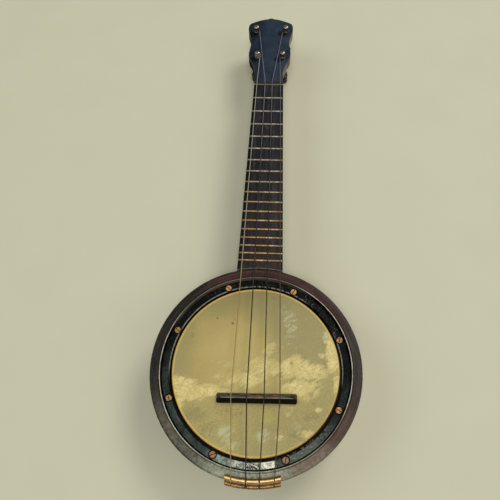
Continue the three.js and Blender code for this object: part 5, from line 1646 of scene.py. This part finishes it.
def peg_button(number):
    """An oval thumb button: waisted between its lips, dished at the bottom for its screw."""
    rings = []
    for step in range(BUTTON_STEPS + 1):
        share = step / BUTTON_STEPS
        edge = min(share, 1 - share) * BUTTON_HEIGHT
        depth = BUTTON_WAIST * math.sin(math.pi * share) ** 2
        if edge < BUTTON_ROUND:
            depth += BUTTON_ROUND - math.sqrt(max(BUTTON_ROUND ** 2 - (BUTTON_ROUND - edge) ** 2, 0))
        ring = []
        for angle in turn_steps(BUTTON_SIDES):
            across = powered(math.cos(angle), BUTTON_POWER) * (BUTTON_HALF_LENGTH - depth)
            up = powered(math.sin(angle), BUTTON_POWER) * (BUTTON_HALF_LENGTH * BUTTON_OVAL - depth)
            ring.append((across, up, BUTTON_BOTTOM + BUTTON_HEIGHT * share))
        rings.append(ring)
    button = loft(numbered("thumb_button", number), rings, button_black)
    bottom = BUTTON_BOTTOM - CUT_OVERRUN
    sink_top = BUTTON_BOTTOM + PEG_SCREW_HEIGHT + PEG_SCREW_SINK + FIT_GAP
    tools = [
        cylinder(TENON_RADIUS + FIT_GAP, bottom, BUTTON_TOP + CUT_OVERRUN),
        cylinder(PEG_SCREW_HEAD + FIT_GAP, bottom, sink_top),
    ]
    return turned(combined(button, tools), BUTTON_TURNS[number])


def slotted_screw(name, head_radius, head_height, shank_radius, length, slot_turn):
    """A round-headed slotted screw: head up, the head's underside at height 0."""
    foot = head_height * SCREW_EDGE_SHARE
    lower = softened([
        (0, -length, 0), (shank_radius / 2, -length, CRISP), (shank_radius, shank_radius - length, FINE),
        (shank_radius, 0, 0), (head_radius, 0, HAIR), (head_radius, foot, 0),
    ], closed=False)
    crown = dome(head_radius, foot, head_height - foot, SCREW_DOME_DEGREES)
    screw = spindle(name, [*lower[:-1], *crown, (0, head_height)], nickel)
    return slotted(screw, head_radius, head_height / 2, head_height / 2, head_height, slot_turn, HAIR)


def make_wall_screws():
    sizes = (END_HEAD_RADIUS, END_HEAD_HEIGHT, END_SHANK, END_GRIP, END_SLOT_TURN)
    end = turned(slotted_screw("dowel_end_screw", *sizes), 90, (0, -POT_RADIUS - FIT_GAP, DOWEL_MIDDLE), "X")
    set_in(end, "body", "peg_nickel", "end_screw")
    sizes = (TAIL_SCREW_HEAD, TAIL_SCREW_HEIGHT, TAIL_SCREW_SHANK, TAIL_SCREW_GRIP, TAIL_SLOT_TURN)
    place = (0, -TAIL_OUTER - FIT_GAP, TAIL_SCREW_PLACE)
    tail = turned(slotted_screw("tail_plate_screw", *sizes), 90, place, "X")
    set_in(turned(tail, TAIL_TURN), "body", "peg_nickel", "tailpiece_screw")


# Tailpiece, bridge and strings

def tail_y(x, radius):
    return -math.sqrt(radius ** 2 - x ** 2)


def string_height_at_tail(i):
    return UPPER_ROLL_TOP - TAIL_NOTCH + STRING_RADII[i] + FIT_GAP


def arc_piece(name, profile):
    """A closed profile of (radius, height) swept round the tail from side to side."""
    rings = []
    for step in range(TAIL_STEPS + 1):
        x = TAIL_WIDTH / 2 * (1 - 2 * step / TAIL_STEPS)
        rings.append([(x, tail_y(x, radius), height) for radius, height in profile])
    return loft(name, rings, tail_brass)


def tail_roll(place, height, radius):
    """A roll just clear of touching the sheet along a line, so that the two join cleanly."""
    radius -= ROLL_TRIM
    angles = [angle + math.pi / ROLL_SIDES for angle in turn_steps(ROLL_SIDES)]
    return arc_piece("roll", [(place + radius * math.cos(a), height + radius * math.sin(a)) for a in angles])


def make_tailpiece():
    skirt_bottom = RIM_TOP - TAIL_SKIRT
    sheet_top = RIM_TOP + TAIL_SHEET
    flange = POT_RADIUS - TAIL_FLANGE
    tail = arc_piece("tailpiece_brass", softened([
        (TAIL_PLATE, skirt_bottom, FINE), (TAIL_OUTER, skirt_bottom, SMALL),
        (TAIL_OUTER, sheet_top, TAIL_BEND_ROUND), (flange, sheet_top, SMALL), (flange, RIM_TOP, FINE),
        (TAIL_PLATE, RIM_TOP, FINE),
    ]))
    upper = tail_roll(UPPER_ROLL_PLACE, RIM_TOP + UPPER_ROLL, UPPER_ROLL)
    lower = tail_roll(LOWER_ROLL_PLACE, LOWER_ROLL_HEIGHT, LOWER_ROLL)
    combined(tail, [upper, lower], "UNION")
    outside = -LOWER_ROLL_PLACE - LOWER_ROLL - CUT_OVERRUN
    tools = []
    for i, x in enumerate(TAIL_PLACES):
        reach = STRING_RADII[i] + FIT_GAP
        heights = (string_height_at_tail(i) - reach, UPPER_ROLL_TOP + CUT_OVERRUN)
        tools.append(block(around(x, reach), (-LOWER_ROLL_PLACE, -POT_RADIUS / 2), heights))
        lower_end = tail_y(x, TAIL_OUTER + FIT_GAP)
        tools.append(block(around(x, reach), (outside, lower_end), (skirt_bottom, UPPER_ROLL_TOP)))
    tools.append(bar_along_neck(TAIL_SCREW_SHANK + FIT_GAP, TAIL_SCREW_PLACE, outside, -POT_RADIUS / 2))
    tail = bevelled(combined(tail, tools), TAIL_BEVEL)
    set_in(turned(tail, TAIL_TURN), "body", "tail_brass", "tailpiece", sharp=30)


def bridge_ring(length, thickness, corner, height):
    ring = []
    for side_x, side_y, quarter in ((1, 1, 0), (-1, 1, 1), (-1, -1, 2), (1, -1, 3)):
        for step in range(CORNER_STEPS + 1):
            angle = math.pi / 2 * (quarter + step / CORNER_STEPS)
            x = side_x * (length / 2 - corner) + corner * math.cos(angle)
            y = side_y * (thickness / 2 - corner) + corner * math.sin(angle)
            ring.append((x, y, HEAD_TOP + height))
    return ring


def between(first, last, share):
    return first + (last - first) * share


def make_bridge():
    """A low ebonised bridge: upright feet, slopes up to a rounded ridge, and two arches between its feet."""
    ridge = BRIDGE_LENGTH - 2 * BRIDGE_HIP
    ridge_width = BRIDGE_RIDGE + BRIDGE_RIDGE_SPREAD
    rings = []
    for height, inward in ((0, SLIGHT), (SLIGHT, 0), (BRIDGE_SIDE - SOFT, 0)):
        size = (BRIDGE_LENGTH - 2 * inward, BRIDGE_THICKNESS - 2 * inward)
        rings.append(bridge_ring(*size, BRIDGE_CORNER, height))
    for step in range(BRIDGE_STEPS + 1):
        share = step / BRIDGE_STEPS
        belly = BRIDGE_BELLY * math.sin(math.pi * share)
        rings.append(bridge_ring(
            between(BRIDGE_LENGTH, ridge, share) + belly,
            between(BRIDGE_THICKNESS, ridge_width, share) + belly,
            between(BRIDGE_CORNER, BRIDGE_RIDGE / 2 - HAIR, share),
            between(BRIDGE_SIDE, BRIDGE_HEIGHT - BRIDGE_CROWN, share),
        ))
    for depth, inward in BRIDGE_CROWN_STEPS:
        size = (ridge - 2 * inward, ridge_width - 2 * inward)
        rings.append(bridge_ring(*size, BRIDGE_CROWN_CORNER, BRIDGE_HEIGHT - depth))
    bridge = loft("bridge_ebonised", rings, bridge_wood)
    arch_length = (BRIDGE_LENGTH - 3 * BRIDGE_FOOT) / 2
    middle = (arch_length + BRIDGE_FOOT) / 2
    arch = dome(arch_length / 2, 0, BRIDGE_ARCH, [180 * step / ARCH_STEPS for step in range(ARCH_STEPS + 1)])
    line = [*arch, (arch[-1][0], -CUT_OVERRUN), (arch[0][0], -CUT_OVERRUN)]
    tools = []
    for side in (-middle, middle):
        ends = (BRIDGE_THICKNESS, -BRIDGE_THICKNESS)
        tools.append(loft("cutter", [[(side + x, y, HEAD_TOP + z) for x, z in line] for y in ends]))
    for i, x in enumerate(BRIDGE_PLACES):
        reach = STRING_RADII[i] + BRIDGE_NOTCH_GAP
        tools.append(at(bar_along_neck(reach, BRIDGE_TOP, -BRIDGE_THICKNESS, BRIDGE_THICKNESS), x, 0))
    bridge = turned(combined(bridge, tools), BRIDGE_TURN, (BRIDGE_SHIFT, BRIDGE_PLACE, 0))
    set_in(bridge, "body", "ebonised_wood", "bridge")


def turned_point(x, y, height, degrees):
    angle = math.radians(degrees)
    return (x * math.cos(angle) - y * math.sin(angle), x * math.sin(angle) + y * math.cos(angle), height)


def tail_point(x, radius, height):
    return turned_point(x, tail_y(x, radius), height, TAIL_TURN)


def bridge_point(i):
    x, y, height = turned_point(BRIDGE_PLACES[i], 0, BRIDGE_TOP - STRING_SEAT, BRIDGE_TURN)
    return (x + BRIDGE_SHIFT, y + BRIDGE_PLACE, height)


def winding(i, start):
    """The string's turns round its post, from where the line from start meets them."""
    x, y, wind_side = PEGS[i]
    radius = POST_WAIST + FIT_GAP + STRING_RADII[i]
    reach = math.hypot(start[0] - x, start[1] - y)
    first = math.atan2(start[1] - y, start[0] - x) + wind_side * math.acos(radius / reach)
    bottom = WINDING_BOTTOM + STRING_RADII[i]
    pitch = 2 * STRING_RADII[i] + WINDING_GAP
    made = []
    for k in range(round(STRING_TURNS[i] * WINDING_STEPS) + 1):
        turns = k / WINDING_STEPS
        angle = first + wind_side * TURN * turns
        made.append((x + radius * math.cos(angle), y + radius * math.sin(angle), bottom + pitch * turns))
    return made


def make_string_piece(i):
    """Knot under the tailpiece, over its roll and the bridge, through the nut and round the post."""
    tail_x = TAIL_PLACES[i]
    reach = STRING_RADII[i] + FIT_GAP
    sheet_top = RIM_TOP + TAIL_SHEET
    down = TAIL_OUTER + FIT_GAP + reach
    knot_height = LOWER_ROLL_HEIGHT - LOWER_ROLL - FIT_GAP - KNOT_RADIUS
    knot = tail_point(tail_x, TAIL_OUTER + FIT_GAP + KNOT_RADIUS, knot_height)
    height = string_height_at_tail(i)
    nut_point = (NUT_PLACES[i], NUT_DISTANCE + NUT_LENGTH / 2, string_height_at_nut(i))
    turns = winding(i, nut_point)
    bends = [
        (*knot, 0), (*tail_point(tail_x, down, sheet_top), BEND_REACH),
        (*tail_point(tail_x, (down + UPPER_ROLL_PLACE) / 2, (sheet_top + height) / 2 + reach), BEND_REACH),
        (*tail_point(tail_x, UPPER_ROLL_PLACE, height), BEND_REACH), (*bridge_point(i), BRIDGE_BEND),
        (*nut_point, NUT_BEND), (*turns[0], 0),
    ]
    path = [*softened(bends, closed=False, steps=BEND_STEPS)[:-1], *turns]
    string = tube(numbered("gut_string", i), path, STRING_RADII[i], string_materials[i])
    combined(string, [make_knot(knot, i)], "UNION")
    set_in(string, "body", STRING_SLOTS[i], numbered("string", i), sharp=60)


def make_knot(place, i):
    """A small tied knot: a lumpy ball."""
    rings = []
    for step in range(1, KNOT_STEPS):
        tilt = math.pi * step / KNOT_STEPS
        ring = []
        for angle in turn_steps(KNOT_SIDES):
            reach = KNOT_RADIUS * (1 - KNOT_LUMPS + KNOT_LUMPS * math.sin(3 * angle + KNOT_TWIST * tilt + i))
            flat = reach * math.sin(tilt)
            ring.append((
                place[0] + flat * math.cos(angle), place[1] + flat * math.sin(angle),
                place[2] - reach * math.cos(tilt),
            ))
        rings.append(ring)
    return loft("knot", rings, string_materials[i])


make_pot()
make_back()
make_head()
make_ring()
for screw_number in range(SCREW_COUNT):
    make_tension_screw(screw_number)
make_neck()
make_faceplate()
make_fretboard()
for fret_number in range(1, FRET_COUNT + 1):
    make_fret(fret_number)
make_nut()
for peg_number in range(len(PEGS)):
    make_bushing(peg_number)
    make_peg(peg_number)
make_wall_screws()
make_tailpiece()
make_bridge()
for string_number in range(len(STRING_RADII)):
    make_string_piece(string_number)


def repaint(node, material):
    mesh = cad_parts[node].data
    mesh.materials.clear()
    mesh.materials.append(material)


repaint("dowel_stick", inner_wood)
repaint("bearing_ring", inner_wood)
repaint("flesh_hoop", hoop_brass)


# Floor, light and camera

def make_floor():
    half = FLOOR_HALF / MM
    corners = [(-half, -half, 0), (half, -half, 0), (half, half, 0), (-half, half, 0)]
    s = Surface("floor")
    s.color = s.mix(s.noise(60, 3, 0.5), (190, 188, 163), (196, 194, 169))
    mesh_piece("floor", corners, [(0, 1, 2, 3)], s.dress(0.9, specular=0.1))


def make_lights():
    world = bpy.data.worlds.new("sky")
    bpy.context.scene.world = world
    world.use_nodes = True
    background = world.node_tree.nodes["Background"]
    background.inputs["Color"].default_value = WORLD_COLOR
    background.inputs["Strength"].default_value = WORLD_STRENGTH
    for name, azimuth, elevation, distance, size, power, color in LIGHTS:
        lamp = bpy.data.lights.new(name, "AREA")
        lamp.shape = "DISK"
        lamp.size = size
        lamp.energy = power
        lamp.color = color
        light = bpy.data.objects.new(name, lamp)
        azimuth, elevation = math.radians(azimuth), math.radians(elevation)
        level = math.cos(elevation)
        towards = Vector((math.sin(azimuth) * level, math.cos(azimuth) * level, math.sin(elevation)))
        light.location = Vector(LIGHT_TARGET) + towards * distance
        light.rotation_euler = towards.to_track_quat("Z", "Y").to_euler()
        bpy.context.scene.collection.objects.link(light)


def make_camera():
    data = bpy.data.cameras.new("camera")
    data.sensor_width = SENSOR_WIDTH
    data.lens = FOCAL_PIXELS / PICTURE_PIXELS * SENSOR_WIDTH
    data.clip_start = CLIP_START
    data.clip_end = CLIP_END
    camera = bpy.data.objects.new("camera", data)
    axis = Vector(CAMERA_TURN)
    turn = Matrix.Rotation(axis.length, 4, axis.normalized())
    camera.matrix_world = Matrix.Translation(CAMERA_PLACE) @ turn
    bpy.context.scene.collection.objects.link(camera)
    bpy.context.scene.camera = camera


make_floor()
make_lights()
make_camera()
bpy.context.scene.view_settings.view_transform = "Standard"
